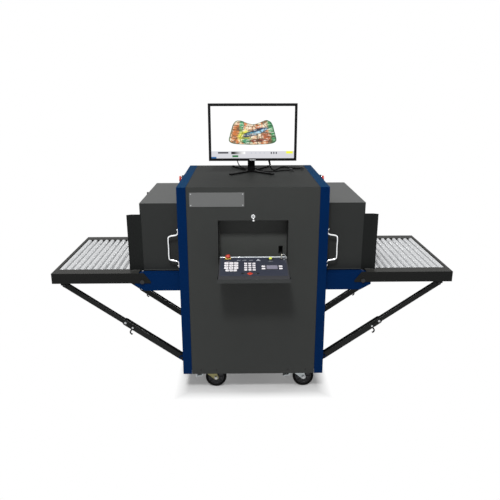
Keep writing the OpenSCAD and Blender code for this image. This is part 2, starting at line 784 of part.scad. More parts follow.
// Wedge-shaped operator's keypad with its keys, display and the housings of its switches
module keypad() {
    z = tray_z + tray_t;
    color("#34363f") difference() {
        union() {
            translate([-keypad_w / 2, keypad_y, 0]) rotate([90, 0, 90]) linear_extrude(height = keypad_w)
                polygon([[0, z], [0, z + keypad_front], [keypad_len, z + keypad_rear], [keypad_len, z]]);
            // Numeric keys, function keys round the display, and the belt's stop key
            for (i = [0:2], j = [0:3]) on_keypad(-42 + i * 22, 74 + j * 27) pad_key(15, 17);
            for (s = [-1, 1], j = [0:1]) on_keypad(98 + s * 46, 112 + j * 25) pad_key(18, 14);
            on_keypad(-20, keypad_len - belt_key_in) rotate([0, 0, 45]) pad_key(24, 24);
            for (s = [-1, 1]) on_keypad(-20 + s * 27, keypad_len - small_key_in) pad_key(16, 13);
            // Image keys in the left cluster, narrower towards the front
            for (i = [0:2], j = [0:3]) on_keypad(-119 + (i - 1) * (j == 3 ? 21 : 26), 74 + j * 27)
                pad_key(j == 3 ? 17 : 22, 21);
            on_keypad(98, 124) pad_key(62, 44);
            on_keypad(stop_at[0], stop_at[1]) cylinder(d = 36, h = 6);
            on_keypad(power_at[0], power_at[1]) cylinder(d = 26, h = 4);
            on_keypad(key_at[0], key_at[1]) cylinder(d = 22, h = 8);
        }
        on_keypad(stop_at[0], stop_at[1]) translate([0, 0, -20]) cylinder(d = 12 + 2 * running, h = 40);
        on_keypad(power_at[0], power_at[1]) translate([0, 0, -12]) cylinder(d = 16 + 2 * running, h = 40);
        on_keypad(key_at[0], key_at[1]) translate([0, 0, -10]) cylinder(d = 10 + 2 * running, h = 40);
    }
}

module pad_key(w, d) {
    translate([-w / 2, -d / 2, -1]) cube([w, d, 2.5]);
}

module console_stop_button() {
    color("#c0281f") on_keypad(stop_at[0], stop_at[1]) union() {
        translate([0, 0, -10]) cylinder(d = 12, h = 22);
        translate([0, 0, 6 + stop_travel + touch]) cylinder(d1 = 20, d2 = 28, h = 5);
        translate([0, 0, 11 + stop_travel + touch]) cylinder(d1 = 28, d2 = 22, h = 5);
    }
}

module power_button() {
    color("#c9d94a") on_keypad(power_at[0], power_at[1]) union() {
        translate([0, 0, -6]) cylinder(d = 16, h = 13);
        translate([0, 0, 7]) cylinder(d1 = 16, d2 = 9, h = 5);
    }
}

module console_key() {
    color("#b9b19a") on_keypad(key_at[0], key_at[1]) union() {
        translate([0, 0, -8]) cylinder(d = 10, h = 17);
        translate([-1.2, -5, 9]) cube([2.4, 10, 10]);
        translate([0, 0, 24]) rotate([0, 90, 0]) translate([0, 0, -1.2]) difference() {
            cylinder(d = 20, h = 2.4);
            translate([0, 0, -1]) cylinder(d = 8, h = 5);
        }
    }
}

module side_stop_button() {
    x = side_x + collar_h;
    union() {
        rod_x(0, side_stop_z, stop_shaft, side_x - 8, x + 8);
        translate([x + stop_travel + touch, 0, side_stop_z]) rotate([0, 90, 0]) {
            cylinder(d1 = stop_d - 10, d2 = stop_d, h = 7);
            translate([0, 0, 7]) cylinder(d1 = stop_d, d2 = stop_d - 8, h = 6);
        }
    }
}

module left_stop_button() { color("#c0281f") on_side(-1) side_stop_button(); }
module right_stop_button() { color("#c0281f") on_side(1) side_stop_button(); }

// ---- Monitor ----

// X-shaped foot, a flat neck and the barrel of the tilt hinge
module monitor_stand() {
    foot_t = 8;
    pad_t = 2;
    hub = [0, stand_y - 4];
    front = [0.48 * stand_len, stand_y - 0.57 * stand_len];
    rear = [0.44 * stand_len, stand_y + 0.77 * stand_len];
    tips = [for (s = [-1, 1], tip = [front, rear]) [s * tip[0], tip[1]]];
    color("#1a1a1b") difference() {
        union() {
            translate([0, 0, cab_top + pad_t]) linear_extrude(height = foot_t) union() {
                translate(hub) circle(d = hub_d);
                for (tip = tips) stand_leg(hub, tip);
            }
            for (tip = tips) {
                pad = hub + (tip - hub) * (1 - 26 / norm(tip - hub));
                translate([pad[0], pad[1], cab_top]) cylinder(d = 13, h = pad_t + 1);
            }
            block([-neck_w / 2, stand_y - 9, cab_top + pad_t + 1], [neck_w / 2, stand_y + 9, tilt_z + 14]);
            for (s = [-1, 1]) block([s * 14 - 5, tilt_y, tilt_z - 8], [s * 14 + 5, stand_y, tilt_z + 8]);
            rod_x(tilt_y, tilt_z, 16, -19, 19);
        }
        rod_x(tilt_y, tilt_z, 8 + 2 * running, -40, 40);
    }
}

// A flat leg's outline, tapering from the hub to its tip
module stand_leg(hub, tip) {
    along = unit(tip - hub);
    across = [-along[1], along[0]];
    polygon([hub - 14 * across, tip - 8 * across, tip + 8 * across, hub + 14 * across]);
}

module monitor() {
    x0 = monitor_x - monitor_w / 2;
    x1 = monitor_x + monitor_w / 2;
    y1 = monitor_y + monitor_t;
    bezel = 16;
    vesa_z = bulge_z + bulge_h - 60;
    color("#18191b") difference() {
        union() {
            block([x0, monitor_y, monitor_z], [x1, y1, monitor_z + monitor_h]);
            difference() {
                block([monitor_x - 130, y1 - 1, bulge_z], [monitor_x + 130, y1 + bulge_t, bulge_z + bulge_h]);
                // Channel that the stand's neck lies in
                block([-36, y1 + 10, bulge_z - 1], [36, y1 + bulge_t + 1, bulge_z + bulge_h - 30]);
            }
            // Ears and pin of the tilt hinge
            for (s = [-1, 1]) {
                block([s * 26 - 3, y1, tilt_z - 9], [s * 26 + 3, tilt_y, tilt_z + 9]);
                rod_x(tilt_y, tilt_z, 18, s * 26 - 3, s * 26 + 3);
            }
            rod_x(tilt_y, tilt_z, 8, -26, 26);
            // Sockets of the two cables
            block([-99, socket_y - 7, bulge_z - 6], [-79, socket_y + 7, bulge_z + 4]);
            block([89, socket_y - 9, bulge_z - 6], [119, socket_y + 9, bulge_z + 4]);
        }
        // Screen, set back behind the bezel
        block([x0 + bezel, monitor_y - 1, monitor_z + bezel],
              [x1 - bezel, monitor_y + 1.5, monitor_z + monitor_h - bezel]);
        for (sx = [-1, 1], dz = [-50, 50])
            rod_y(monitor_x + sx * 50, vesa_z + dz, 4, y1 + bulge_t - 12, y1 + bulge_t + 1);
    }
}

// Mains plug of the monitor, with its bent strain relief
module power_plug() {
    at = [104, socket_y, bulge_z - 6 - 1.5 - 32];
    relief = power_route[0] + [1, 1, -2] - at;
    color("#131314") union() {
        translate(at) cylinder(d = 20, h = 32);
        translate(at) sphere(d = 22);
        translate(at) rotate([0, acos(relief[2] / norm(relief)), atan2(relief[1], relief[0])])
            cylinder(d1 = 17, d2 = 11, h = norm(relief));
    }
}

// A round cable: rings of points across a smooth curve through the route's points
cable_sides = 8;
cable_steps = 2;
function curve(p, i, t) =
    let (a = p[max(i - 1, 0)], b = p[i], c = p[i + 1], d = p[min(i + 2, len(p) - 1)])
    0.5 * (2 * b + (c - a) * t + (2 * a - 5 * b + 4 * c - d) * t * t + (3 * b - a - 3 * c + d) * t * t * t);
function route(p) = concat(
    [for (i = [0:len(p) - 2], k = [0:cable_steps - 1]) curve(p, i, k / cable_steps)], [p[len(p) - 1]]);
function unit(v) = v / norm(v);
function ring(p, i, r) =
    let (along = unit(p[min(i + 1, len(p) - 1)] - p[max(i - 1, 0)]),
         side = unit(cross(along, abs(along[2]) > 0.9 ? [1, 0, 0] : [0, 0, 1])),
         up = cross(side, along))
    [for (k = [0:cable_sides - 1])
        p[i] + r * (cos(360 * k / cable_sides) * side + sin(360 * k / cable_sides) * up)];

module cable(points, d) {
    p = route(points);
    n = len(p);
    m = cable_sides;
    polyhedron(
        points = [for (i = [0:n - 1], q = ring(p, i, d / 2)) q],
        faces = concat(
            [[for (k = [0:m - 1]) k]],
            [for (i = [0:n - 2], k = [0:m - 1])
                [i * m + k, (i + 1) * m + k, (i + 1) * m + (k + 1) % m, i * m + (k + 1) % m]],
            [[for (k = [m - 1:-1:0]) (n - 1) * m + k]]),
        convexity = 6);
}

module video_cable() { color("#151516") cable(video_route, video_d); }
module power_cable() { color("#151516") cable(power_route, power_d); }

// ---- Folding tables ----

function roller_x(i) = roller_1_x - (i - 1) * roller_pitch;

// Two channel rails with lapped lugs, an end plate, ties, brace lugs and the fused inner rollers
module table_frame() {
    lug_x = pivot_x - lug_len;
    low = table_z - rail_h;
    end_x = table_x;
    web_low = low + 18;
    tie_x = head_x + 6;
    union() {
        front_and_rear() difference() {
            union() {
                // Outer side plate with its slanted lug
                plate_y(-rail_y, -rail_y + rail_t)
                    polygon([[lug_x, low], [end_x, low], [end_x, table_z], [pivot_x - 10, table_z],
                             [lug_x, low + 10]]);
                block([flange_x, -rail_y, table_z - rail_t], [end_x, -roller_y, table_z]);
                block([flange_x, -roller_y - rail_t, web_low], [end_x, -roller_y, table_z]);
                // Fold bolt, from the lug through both walls of the arm
                rod_y(pivot_x, pivot_z, pin_d + 2, -rail_y - 2, -arm_y + arm_w + 4);
                rod_y(pivot_x, pivot_z, 24, -rail_y - 6, -rail_y + 0.5);
                rod_y(pivot_x, pivot_z, 22, -arm_y + arm_w + slide, -arm_y + arm_w + 8);
            }
            for (i = [1:spinning_rollers])
                rod_y(roller_x(i), roller_z, axle_d + 2 * running, -roller_y - rail_t - 1, -roller_y + 1);
        }
        block([end_x - rail_t, -rail_y, low], [end_x, rail_y, table_z]);
        block([end_x - 18, -rail_y, table_z - rail_t], [end_x, rail_y, table_z]);
        // Ties under the rollers, and the lugs of the upper links
        for (x = [flange_x + 24, tie_x]) {
            block([x - 18, -roller_y, web_low], [x + 18, roller_y, web_low + 3]);
            block([x + 15, -roller_y, web_low - 12], [x + 18, roller_y, web_low + 3]);
        }
        front_and_rear() for (s = [-1, 1]) {
            y = -brace_y + s * (upper_w / 2 + slide + ear_t / 2);
            plate_y(y - ear_t / 2, y + ear_t / 2) difference() {
                union() {
                    translate([head_x, head_z]) circle(r = 13);
                    translate([head_x - 9, head_z]) square([30, web_low + 1 - head_z]);
                }
                translate([head_x, head_z]) circle(d = pin_d - 2 + 2 * running);
            }
        }
        for (i = [spinning_rollers + 1:roller_count]) {
            rod_y(roller_x(i), roller_z, roller_d, -roller_y + 2, roller_y - 2);
            rod_y(roller_x(i), roller_z, axle_d, -roller_y - 1, roller_y + 1);
        }
    }
}

module left_table_frame() { color("#353532") on_side(-1) table_frame(); }
module right_table_frame() { color("#353532") on_side(1) table_frame(); }

// A roller with its axle ends, carried by the rails' inner webs
module roller(side, i) {
    color("#e4e6e6") on_side(side) union() {
        rod_y(roller_x(i), roller_z, roller_d, -roller_y + 2, roller_y - 2);
        rod_y(roller_x(i), roller_z, axle_d, -roller_y - rail_t - 2, roller_y + rail_t + 2);
    }
}

module left_roller_1() { roller(-1, 1); }
module left_roller_2() { roller(-1, 2); }
module left_roller_3() { roller(-1, 3); }
module left_roller_4() { roller(-1, 4); }
module left_roller_5() { roller(-1, 5); }
module left_roller_6() { roller(-1, 6); }
module right_roller_1() { roller(1, 1); }
module right_roller_2() { roller(1, 2); }
module right_roller_3() { roller(1, 3); }
module right_roller_4() { roller(1, 4); }
module right_roller_5() { roller(1, 5); }
module right_roller_6() { roller(1, 6); }

// ---- Braces ----

// Places its children with +X along the front brace from its foot, at its height
module along_brace(distance) {
    translate([foot_x, -brace_y, foot_z]) rotate([0, -brace_angle, 0]) translate([distance, 0, 0]) children();
}

// Lower link: a channel open at the top, forked at the knee, with both of its pins
module lower_brace() {
    w = lower_w / 2;
    h = lower_h / 2;
    web_end = lower_len - fork_len;
    along_brace(0) union() {
        difference() {
            union() {
                for (s = [-1, 1]) {
                    y = s * (w - link_t / 2);
                    plate_y(y - link_t / 2, y + link_t / 2) union() {
                        circle(r = h);
                        translate([0, -h]) square([lower_len, lower_h]);
                        translate([lower_len, 0]) circle(r = h);
                    }
                }
                block([8, -w, -h], [web_end, w, -h + link_t]);
            }
        }
        pin_y = w + slide + ear_t + 4;
        rod_y(0, 0, pin_d, 1 - pin_y, pin_y - 1);
        for (s = [-1, 1]) rod_y(0, 0, pin_d + 6, s * pin_y - 2, s * pin_y + 2);
        // Heads of the knee bolts, and the latches' pivots
        for (s = [-1, 1]) rod_y(lower_len, 0, pin_d + 4, s * (w + 2) - 2.5, s * (w + 2) + 2.5);
        rod_y(latch_at, 0, 6, -w - 8, -w + 1);
        rod_y(latch_at, 0, 12, -w - 9, -w - 5.5);
    }
}

// Upper link: a narrower channel whose tail nests in the lower link at the knee
module upper_brace() {
    w = upper_w / 2;
    h = upper_h / 2;
    tail = 24;
    along_brace(lower_len) difference() {
        union() {
            for (s = [-1, 1]) {
                y = s * (w - link_t / 2);
                plate_y(y - link_t / 2, y + link_t / 2) union() {
                    translate([-tail, -h]) square([upper_len + tail, upper_h]);
                    translate([upper_len, 0]) circle(r = h);
                }
            }
            block([-tail, -w, -h], [upper_len - 12, w, -h + link_t]);
            rod_y(upper_len, 0, pin_d - 2, -w - slide - ear_t - 3, w + slide + ear_t + 3);
            for (s = [-1, 1])
                rod_y(upper_len, 0, pin_d + 4, s * (w + slide + ear_t + 3) - 1.5,
                      s * (w + slide + ear_t + 3) + 1.5);
        }
        rod_y(0, 0, pin_d, -w - 1, w + 1);
        rod_y(link_hole_at, 0, 7, -w - 1, w + 1);
    }
}

// Hooked catch on the outside of a lower link, pulled to release the knee
module brace_latch() {
    w = lower_w / 2;
    h = lower_h / 2;
    along_brace(latch_at) plate_y(-w - 5, -w - touch) difference() {
        union() {
            circle(r = 9);
            translate([0, -5]) square([34, 10]);
            translate([-6, -h - 8]) square([9, h + 8]);
            translate([-15, -h - 8]) difference() {
                circle(r = 18);
                circle(r = 10);
                translate([-20, 0]) square([40, 20]);
                translate([-20, -20]) square([13, 30]);
            }
        }
        circle(d = 6 + 2 * running);
    }
}

module left_lower_braces() { color("#3a3b3a") on_side(-1) front_and_rear() lower_brace(); }
module right_lower_braces() { color("#3a3b3a") on_side(1) front_and_rear() lower_brace(); }
module left_upper_braces() { color("#262727") on_side(-1) front_and_rear() upper_brace(); }
module right_upper_braces() { color("#262727") on_side(1) front_and_rear() upper_brace(); }
module left_brace_latches() { color("#1d1e1e") on_side(-1) front_and_rear() brace_latch(); }
module right_brace_latches() { color("#1d1e1e") on_side(1) front_and_rear() brace_latch(); }

// ---- Casters ----

module at_caster(sx, sy) {
    translate([sx * caster_x, sy * caster_y, 0]) children();
}

// Swivel fork: bearing race, crown, two legs and the axle bolt
module fork(sx, sy, braked = false) {
    leg_y = wheel_w / 2 + fork_gap;
    bore = 14 + 2 * running;
    color("#b4b8ba") at_caster(sx, sy) union() {
        difference() {
            union() {
                translate([0, 0, crown_z]) cylinder(d = 62, h = caster_h - plate_t - touch - crown_z);
                block([-28, -leg_y - fork_t, crown_z], [34, leg_y + fork_t, crown_z + 4]);
            }
            translate([0, 0, crown_z - 1]) cylinder(d = bore, h = 60);
        }
        for (s = [-1, 1]) {
            y = s * (leg_y + fork_t / 2);
            plate_y(y - fork_t / 2, y + fork_t / 2) difference() {
                union() {
                    polygon([[-28, crown_z + 2], [34, crown_z + 2], [trail + 13, wheel_z + 4],
                             [trail - 8, wheel_z - 12], [-28, pedal_z - 2]]);
                    translate([trail, wheel_z]) circle(r = 15);
                }
                if (braked) translate([pedal_x, pedal_z]) circle(d = pedal_pin + 2 * running);
            }
        }
        rod_y(trail, wheel_z, 12, -leg_y - fork_t - 3, leg_y + fork_t + 3);
        for (s = [-1, 1])
            rod_y(trail, wheel_z, 20, s * (leg_y + fork_t + 3) - 3, s * (leg_y + fork_t + 3) + 3);
    }
}

module wheel(sx, sy) {
    color("#1c1c1c") at_caster(sx, sy)
    translate([trail, wheel_w / 2, wheel_z]) rotate([90, 0, 0]) difference() {
        union() {
            translate([0, 0, 2]) cylinder(d = wheel_d, h = wheel_w - 4);
            translate([0, 0, 0]) cylinder(d1 = wheel_d - 8, d2 = wheel_d, h = 2);
            translate([0, 0, wheel_w - 2]) cylinder(d1 = wheel_d, d2 = wheel_d - 8, h = 2);
            translate([0, 0, -fork_gap + touch]) cylinder(d = 30, h = wheel_w + 2 * fork_gap - 2 * touch);
        }
        for (z = [-1, wheel_w - 5]) translate([0, 0, z]) difference() {
            cylinder(d = wheel_d - 34, h = 6);
            translate([0, 0, -1]) cylinder(d = 38, h = 8);
        }
        translate([0, 0, -5]) cylinder(d = 12 + 2 * running, h = wheel_w + 10);
    }
}

// Foot pedal of a braked front caster, hinged between the fork's legs
module brake_pedal(sx) {
    leg_y = wheel_w / 2 + fork_gap + fork_t + 2;
    z = pedal_z;
    color("#6f7477") at_caster(sx, -1) union() {
        rod_y(pedal_x, z, pedal_pin, -leg_y, leg_y);
        plate_y(-14, 14) polygon([[pedal_x + 4, z - 3], [pedal_x + 4, z + 3], [-28, z + 2], [-46, z - 29],
                                  [-72, z - 32], [-80, z - 39], [-80, z - 44], [-71, z - 38],
                                  [-42, z - 35], [-26, z - 5]]);
    }
}

module front_left_fork() { fork(-1, -1, true); }
module front_right_fork() { fork(1, -1, true); }
module rear_left_fork() { fork(-1, 1); }
module rear_right_fork() { fork(1, 1); }
module front_left_wheel() { wheel(-1, -1); }
module front_right_wheel() { wheel(1, -1); }
module rear_left_wheel() { wheel(-1, 1); }
module rear_right_wheel() { wheel(1, 1); }
module front_left_brake_pedal() { brake_pedal(-1); }
module front_right_brake_pedal() { brake_pedal(1); }

chassis();
left_side_frame();
right_side_frame();
front_panel();
rear_panel();
top_panel();
tunnel();
left_tunnel_box();
right_tunnel_box();
curtains();
conveyor_bed();
belt();
drive_drum();
tail_drum();
xray_generator();
detector_array();
computer();
grab_handles();
console_tray();
keypad();
console_stop_button();
console_key();
power_button();
left_stop_button();
right_stop_button();
monitor_stand();
monitor();
power_plug();
video_cable();
power_cable();
left_table_frame();
right_table_frame();
left_upper_braces();
right_upper_braces();
left_lower_braces();
right_lower_braces();
left_brace_latches();
right_brace_latches();
front_left_fork();
front_right_fork();
rear_left_fork();
rear_right_fork();
front_left_wheel();
front_right_wheel();
rear_left_wheel();
rear_right_wheel();
front_left_brake_pedal();
front_right_brake_pedal();
left_roller_1();
left_roller_2();
left_roller_3();
left_roller_4();
left_roller_5();
left_roller_6();
right_roller_1();
right_roller_2();
right_roller_3();
right_roller_4();
right_roller_5();
right_roller_6();
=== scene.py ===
import math

import bmesh
import bpy
from mathutils import Matrix, Vector
from mathutils.geometry import interpolate_bezier


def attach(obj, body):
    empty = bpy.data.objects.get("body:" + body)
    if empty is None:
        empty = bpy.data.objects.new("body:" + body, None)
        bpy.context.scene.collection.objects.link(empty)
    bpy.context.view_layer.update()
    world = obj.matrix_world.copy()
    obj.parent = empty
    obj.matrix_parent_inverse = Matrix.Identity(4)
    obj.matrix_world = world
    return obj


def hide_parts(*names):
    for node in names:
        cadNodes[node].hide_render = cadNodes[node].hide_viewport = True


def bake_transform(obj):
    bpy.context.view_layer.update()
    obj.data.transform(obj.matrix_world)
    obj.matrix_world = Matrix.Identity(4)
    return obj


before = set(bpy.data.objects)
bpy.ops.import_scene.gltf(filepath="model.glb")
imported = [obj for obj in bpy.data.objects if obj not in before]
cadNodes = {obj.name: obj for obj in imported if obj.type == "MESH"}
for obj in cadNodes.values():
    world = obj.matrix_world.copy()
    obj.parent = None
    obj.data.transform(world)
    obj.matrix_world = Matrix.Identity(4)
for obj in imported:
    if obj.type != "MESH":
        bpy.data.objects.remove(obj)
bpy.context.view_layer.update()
sides = {"left": -1, "right": 1}
ends = {"front": -1, "rear": 1}
print("frame loaded:", len(cadNodes), "nodes")


def clearSelection():
    if bpy.context.object and bpy.context.object.mode != "OBJECT":
        bpy.ops.object.mode_set(mode="OBJECT")
    for chosen in list(bpy.context.selected_objects):
        chosen.select_set(False)


def pick(piece):
    clearSelection()
    piece.select_set(True)
    bpy.context.view_layer.objects.active = piece


def rename(piece, name):
    piece.name = name
    piece.data.name = name
    return piece


def settle(piece):
    # the place, turn and size go into the mesh
    pick(piece)
    bpy.ops.object.transform_apply(location=True, rotation=True, scale=True)
    return piece


def useModifier(piece, kind, **settings):
    pick(piece)
    modifier = piece.modifiers.new("work", kind)
    for key, value in settings.items():
        setattr(modifier, key, value)
    bpy.ops.object.modifier_apply(modifier=modifier.name)
    return piece


def smoothFaces(piece, angle=35):
    pick(piece)
    bpy.ops.object.shade_smooth_by_angle(angle=math.radians(angle))
    return useModifier(piece, "WEIGHTED_NORMAL", keep_sharp=True)


def roundEdges(piece, width, segments=2, angle=40):
    useModifier(piece, "BEVEL", width=width, segments=segments, limit_method="ANGLE",
        angle_limit=math.radians(angle))
    return smoothFaces(piece)


def editMode(piece, action="DESELECT"):
    pick(piece)
    bpy.ops.object.mode_set(mode="EDIT")
    bpy.ops.mesh.select_mode(type="FACE")
    bpy.ops.mesh.select_all(action=action)


def objectMode():
    bpy.ops.object.mode_set(mode="OBJECT")


def facesOut():
    # in edit mode, turns every face outwards
    bpy.ops.mesh.select_all(action="SELECT")
    bpy.ops.mesh.normals_make_consistent(inside=False)


def choose(test):
    # selects, in edit mode, the faces that pass the test
    bpy.ops.mesh.select_mode(type="FACE")
    bpy.ops.mesh.select_all(action="DESELECT")
    data = bpy.context.object.data
    mesh = bmesh.from_edit_mesh(data)
    for face in mesh.faces:
        if test(face.calc_center_median(), face.normal):
            face.select_set(True)
    mesh.select_flush_mode()
    bmesh.update_edit_mesh(data)


def addNew(operator, name, **settings):
    # a primitive from one of Blender's add operators, its place and size in its mesh
    clearSelection()
    operator(**settings)
    return settle(rename(bpy.context.object, name))


def makeBox(name, corner, opposite, edge=0.0, segments=2):
    low, high = [Vector(map(end, corner, opposite)) for end in (min, max)]
    box = addNew(bpy.ops.mesh.primitive_cube_add, name, size=1, location=(low + high) / 2, scale=high - low)
    return roundEdges(box, edge, segments) if edge else box


def makeTurned(name, outline, at=(0, 0, 0), towards=(0, 0, 1), around=32, ring=False, angle=35):
    # a turned piece: a circle pushed up and resized through the outline's (radius, height) rings, in mm
    clearSelection()
    rings = [(radius / 1000, height / 1000) for radius, height in outline]
    radius, height = rings[0]
    bpy.ops.mesh.primitive_circle_add(vertices=around, radius=radius, location=(0, 0, height),
        fill_type="NOTHING" if ring else "NGON")
    piece = rename(bpy.context.object, name)
    bpy.ops.object.mode_set(mode="EDIT")
    bpy.ops.mesh.select_mode(type="VERT")
    bpy.ops.mesh.select_all(action="SELECT")
    for nextRadius, nextHeight in rings[1:] + (rings[:1] if ring else []):
        bpy.ops.mesh.extrude_region_move(TRANSFORM_OT_translate={"value": (0, 0, nextHeight - height)})
        share = nextRadius / radius
        if abs(share - 1) > 1e-6:
            bpy.ops.transform.resize(value=(share, share, 1), center_override=(0, 0, nextHeight))
        radius, height = nextRadius, nextHeight
    bpy.ops.mesh.select_all(action="SELECT")
    bpy.ops.mesh.remove_doubles(threshold=1e-6)
    facesOut()
    objectMode()
    settle(piece)
    piece.rotation_mode = "QUATERNION"
    piece.rotation_quaternion = Vector((0, 0, 1)).rotation_difference(Vector(towards))
    piece.location = at
    settle(piece)
    return smoothFaces(piece, angle)


def makeTube(name, points, radius, around):
    # a round rod or cable along a smooth line through the points; returns it and its centreline
    clearSelection()
    bpy.ops.curve.primitive_bezier_curve_add(location=(0, 0, 0))
    curve = rename(bpy.context.object, name)
    spline = curve.data.splines[0]
    spline.bezier_points.add(len(points) - 2)
    for knot, point in zip(spline.bezier_points, points):
        knot.co = point
        knot.handle_left_type = knot.handle_right_type = "AUTO"
    curve.data.resolution_u = 6
    curve.data.bevel_depth = radius
    curve.data.bevel_resolution = around // 4 - 1
    curve.data.use_fill_caps = True
    bpy.context.view_layer.update()
    line = [spline.bezier_points[0].co.copy()]
    for a, b in zip(spline.bezier_points, spline.bezier_points[1:]):
        line += interpolate_bezier(a.co, a.handle_right, b.handle_left, b.co, 7)[1:]
    pick(curve)
    bpy.ops.object.convert(target="MESH")
    tube = rename(bpy.context.object, name)
    return smoothFaces(settle(tube), 60), line


def copyTo(piece, name, matrix):
    # a copy with its own mesh, moved in the mesh
    pick(piece)
    bpy.ops.object.duplicate()
    other = rename(bpy.context.object, name)
    other.data.transform(matrix)
    if matrix.determinant() < 0:
        editMode(other)
        facesOut()
        objectMode()
        smoothFaces(other)
    return other


def joinPieces(name, parts):
    clearSelection()
    for part in parts:
        part.select_set(True)
    bpy.context.view_layer.objects.active = parts[0]
    bpy.ops.object.join()
    return rename(bpy.context.object, name)


def finishPiece(piece, body, paint, standsFor=None):
    # the paint, the body it rides on, its material slot and the CAD node it stands for
    if paint is not None:
        piece.data.materials.clear()
        piece.data.materials.append(paint)
    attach(piece, body)
    if standsFor:
        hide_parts(standsFor)
    return piece


def inCamelCase(node):
    # a CAD node's name as a piece's name
    first, *rest = node.split("_")
    return first + "".join(map(str.capitalize, rest))


def dressNode(node, body, paint, edge, segments=2, trim=None, angle=40, name=None):
    # a copy of a CAD node with its doubles merged, flat faces joined and edges rounded
    piece = bpy.data.objects.new("piece", cadNodes[node].data.copy())
    bpy.context.scene.collection.objects.link(piece)
    rename(piece, name or inCamelCase(node))
    editMode(piece, "SELECT")
    bpy.ops.mesh.remove_doubles(threshold=2e-5)
    if trim:
        choose(trim)
        bpy.ops.mesh.delete(type="FACE")
        bpy.ops.mesh.select_all(action="SELECT")
        bpy.ops.mesh.fill_holes(sides=0)
        bpy.ops.mesh.select_all(action="SELECT")
    bpy.ops.mesh.dissolve_limited(angle_limit=math.radians(1.5))
    objectMode()
    return finishPiece(roundEdges(piece, edge, segments, angle), body, paint, node)


def turnedPiece(name, outline, at, towards, around, body, paint, standsFor=None, ring=False):
    return finishPiece(makeTurned(name, outline, at, towards, around, ring), body, paint, standsFor)


def tintFaces(piece, paint, test):
    # another paint on the faces that pass the test
    piece.data.materials.append(paint)
    number = len(piece.data.materials) - 1
    for face in piece.data.polygons:
        if test(face.center, face.normal):
            face.material_index = number


# camera first, then the two cables
camera = {"place": (-0.0609, -3.2646, 1.7527), "pitch": 16.81, "yaw": -0.879, "roll": -0.068, "lens": 38.88}
clearSelection()
bpy.ops.object.camera_add(location=camera["place"])
cameraPiece = bpy.context.object
cameraPiece.data.lens = camera["lens"]
cameraPiece.data.sensor_width = 36
cameraPiece.data.clip_end = 60
cameraPiece.rotation_euler = (Matrix.Rotation(math.radians(camera["yaw"]), 3, "Z")
    @ Matrix.Rotation(math.radians(90 - camera["pitch"]), 3, "X")
    @ Matrix.Rotation(math.radians(camera["roll"]), 3, "Z")).to_euler()
bpy.context.scene.camera = cameraPiece


class Wire:
    # an output socket of a material, for use in sums with numbers and other wires
    def __init__(self, tree, socket):
        self.tree, self.socket = tree, socket

    def sum(self, operation, *others):
        return addNode(self.tree, "ShaderNodeMath", dict(enumerate(others)), operation=operation)

    def __add__(self, other): return self.sum("ADD", self, other)
    def __radd__(self, other): return self.sum("ADD", other, self)
    def __sub__(self, other): return self.sum("SUBTRACT", self, other)
    def __rsub__(self, other): return self.sum("SUBTRACT", other, self)
    def __mul__(self, other): return self.sum("MULTIPLY", self, other)
    def __rmul__(self, other): return self.sum("MULTIPLY", other, self)
    def __truediv__(self, other): return self.sum("DIVIDE", self, other)
    def __rtruediv__(self, other): return self.sum("DIVIDE", other, self)
    def __pow__(self, other): return self.sum("POWER", self, other)
    def __gt__(self, other): return self.sum("GREATER_THAN", self, other)
    def __abs__(self): return self.sum("ABSOLUTE", self)
    def sine(self): return self.sum("SINE", self)
    def cosine(self): return self.sum("COSINE", self)
    def smaller(self, other): return self.sum("MINIMUM", self, other)
    def larger(self, other): return self.sum("MAXIMUM", self, other)


def feed(tree, place, value):
    if isinstance(value, Wire):
        tree.links.new(value.socket, place)
    elif isinstance(value, (tuple, list)) and len(value) == 3 and place.type == "RGBA":
        place.default_value = (*value, 1)
    else:
        place.default_value = value


def addNode(tree, kind, values=None, output=0, **settings):
    # any node: its settings first, then the values or wires of its sockets
    made = tree.nodes.new(kind)
    for key, value in settings.items():
        setattr(made, key, value)
    for socket, value in (values or {}).items():
        feed(tree, made.inputs[socket], value)
    return Wire(tree, made.outputs[output])


class Paint:
    # a material with one Principled shader; fixed values go straight on its sockets
    def __init__(self, name, **fixed):
        self.material = bpy.data.materials.new(name)
        self.material.use_nodes = True
        self.tree = self.material.node_tree
        self.shader = self.tree.nodes["Principled BSDF"]
        self.place = self.node("ShaderNodeTexCoord", output="Object")
        for socket, value in fixed.items():
            self.set(socket, value)

    def set(self, socket, value):
        feed(self.tree, self.shader.inputs[socket], value)

    def node(self, kind, values=None, output=0, **settings):
        return addNode(self.tree, kind, values, output, **settings)

    def noise(self, scale, detail=2.0, rough=0.5, place=None, warp=0.0):
        return self.node("ShaderNodeTexNoise", {"Vector": place or self.place, "Scale": scale, "Detail": detail,
            "Roughness": rough, "Distortion": warp})

    def parts(self):
        return [self.node("ShaderNodeSeparateXYZ", {"Vector": self.place}, axis) for axis in "XYZ"]

    def stretched(self, size):
        return self.node("ShaderNodeMapping", {"Vector": self.place, "Scale": size})

    def mixed(self, share, low, high):
        return self.node("ShaderNodeMix", {0: share, 6: low, 7: high}, 2, data_type="RGBA")

    def span(self, value, low, high, start=0.0, end=1.0):
        # value from low..high to start..end, held inside it
        return self.node("ShaderNodeMapRange", dict(enumerate((value, low, high, start, end))))

    def finish(self, base, roughness, height, depth, strength):
        self.set("Base Color", base)
        self.set("Roughness", roughness)
        self.set("Normal", self.node("ShaderNodeBump", {"Strength": strength, "Distance": depth, "Height": height}))
        return self.material


def tinted(colour, share):
    return tuple(min(1.0, value * share) for value in colour)


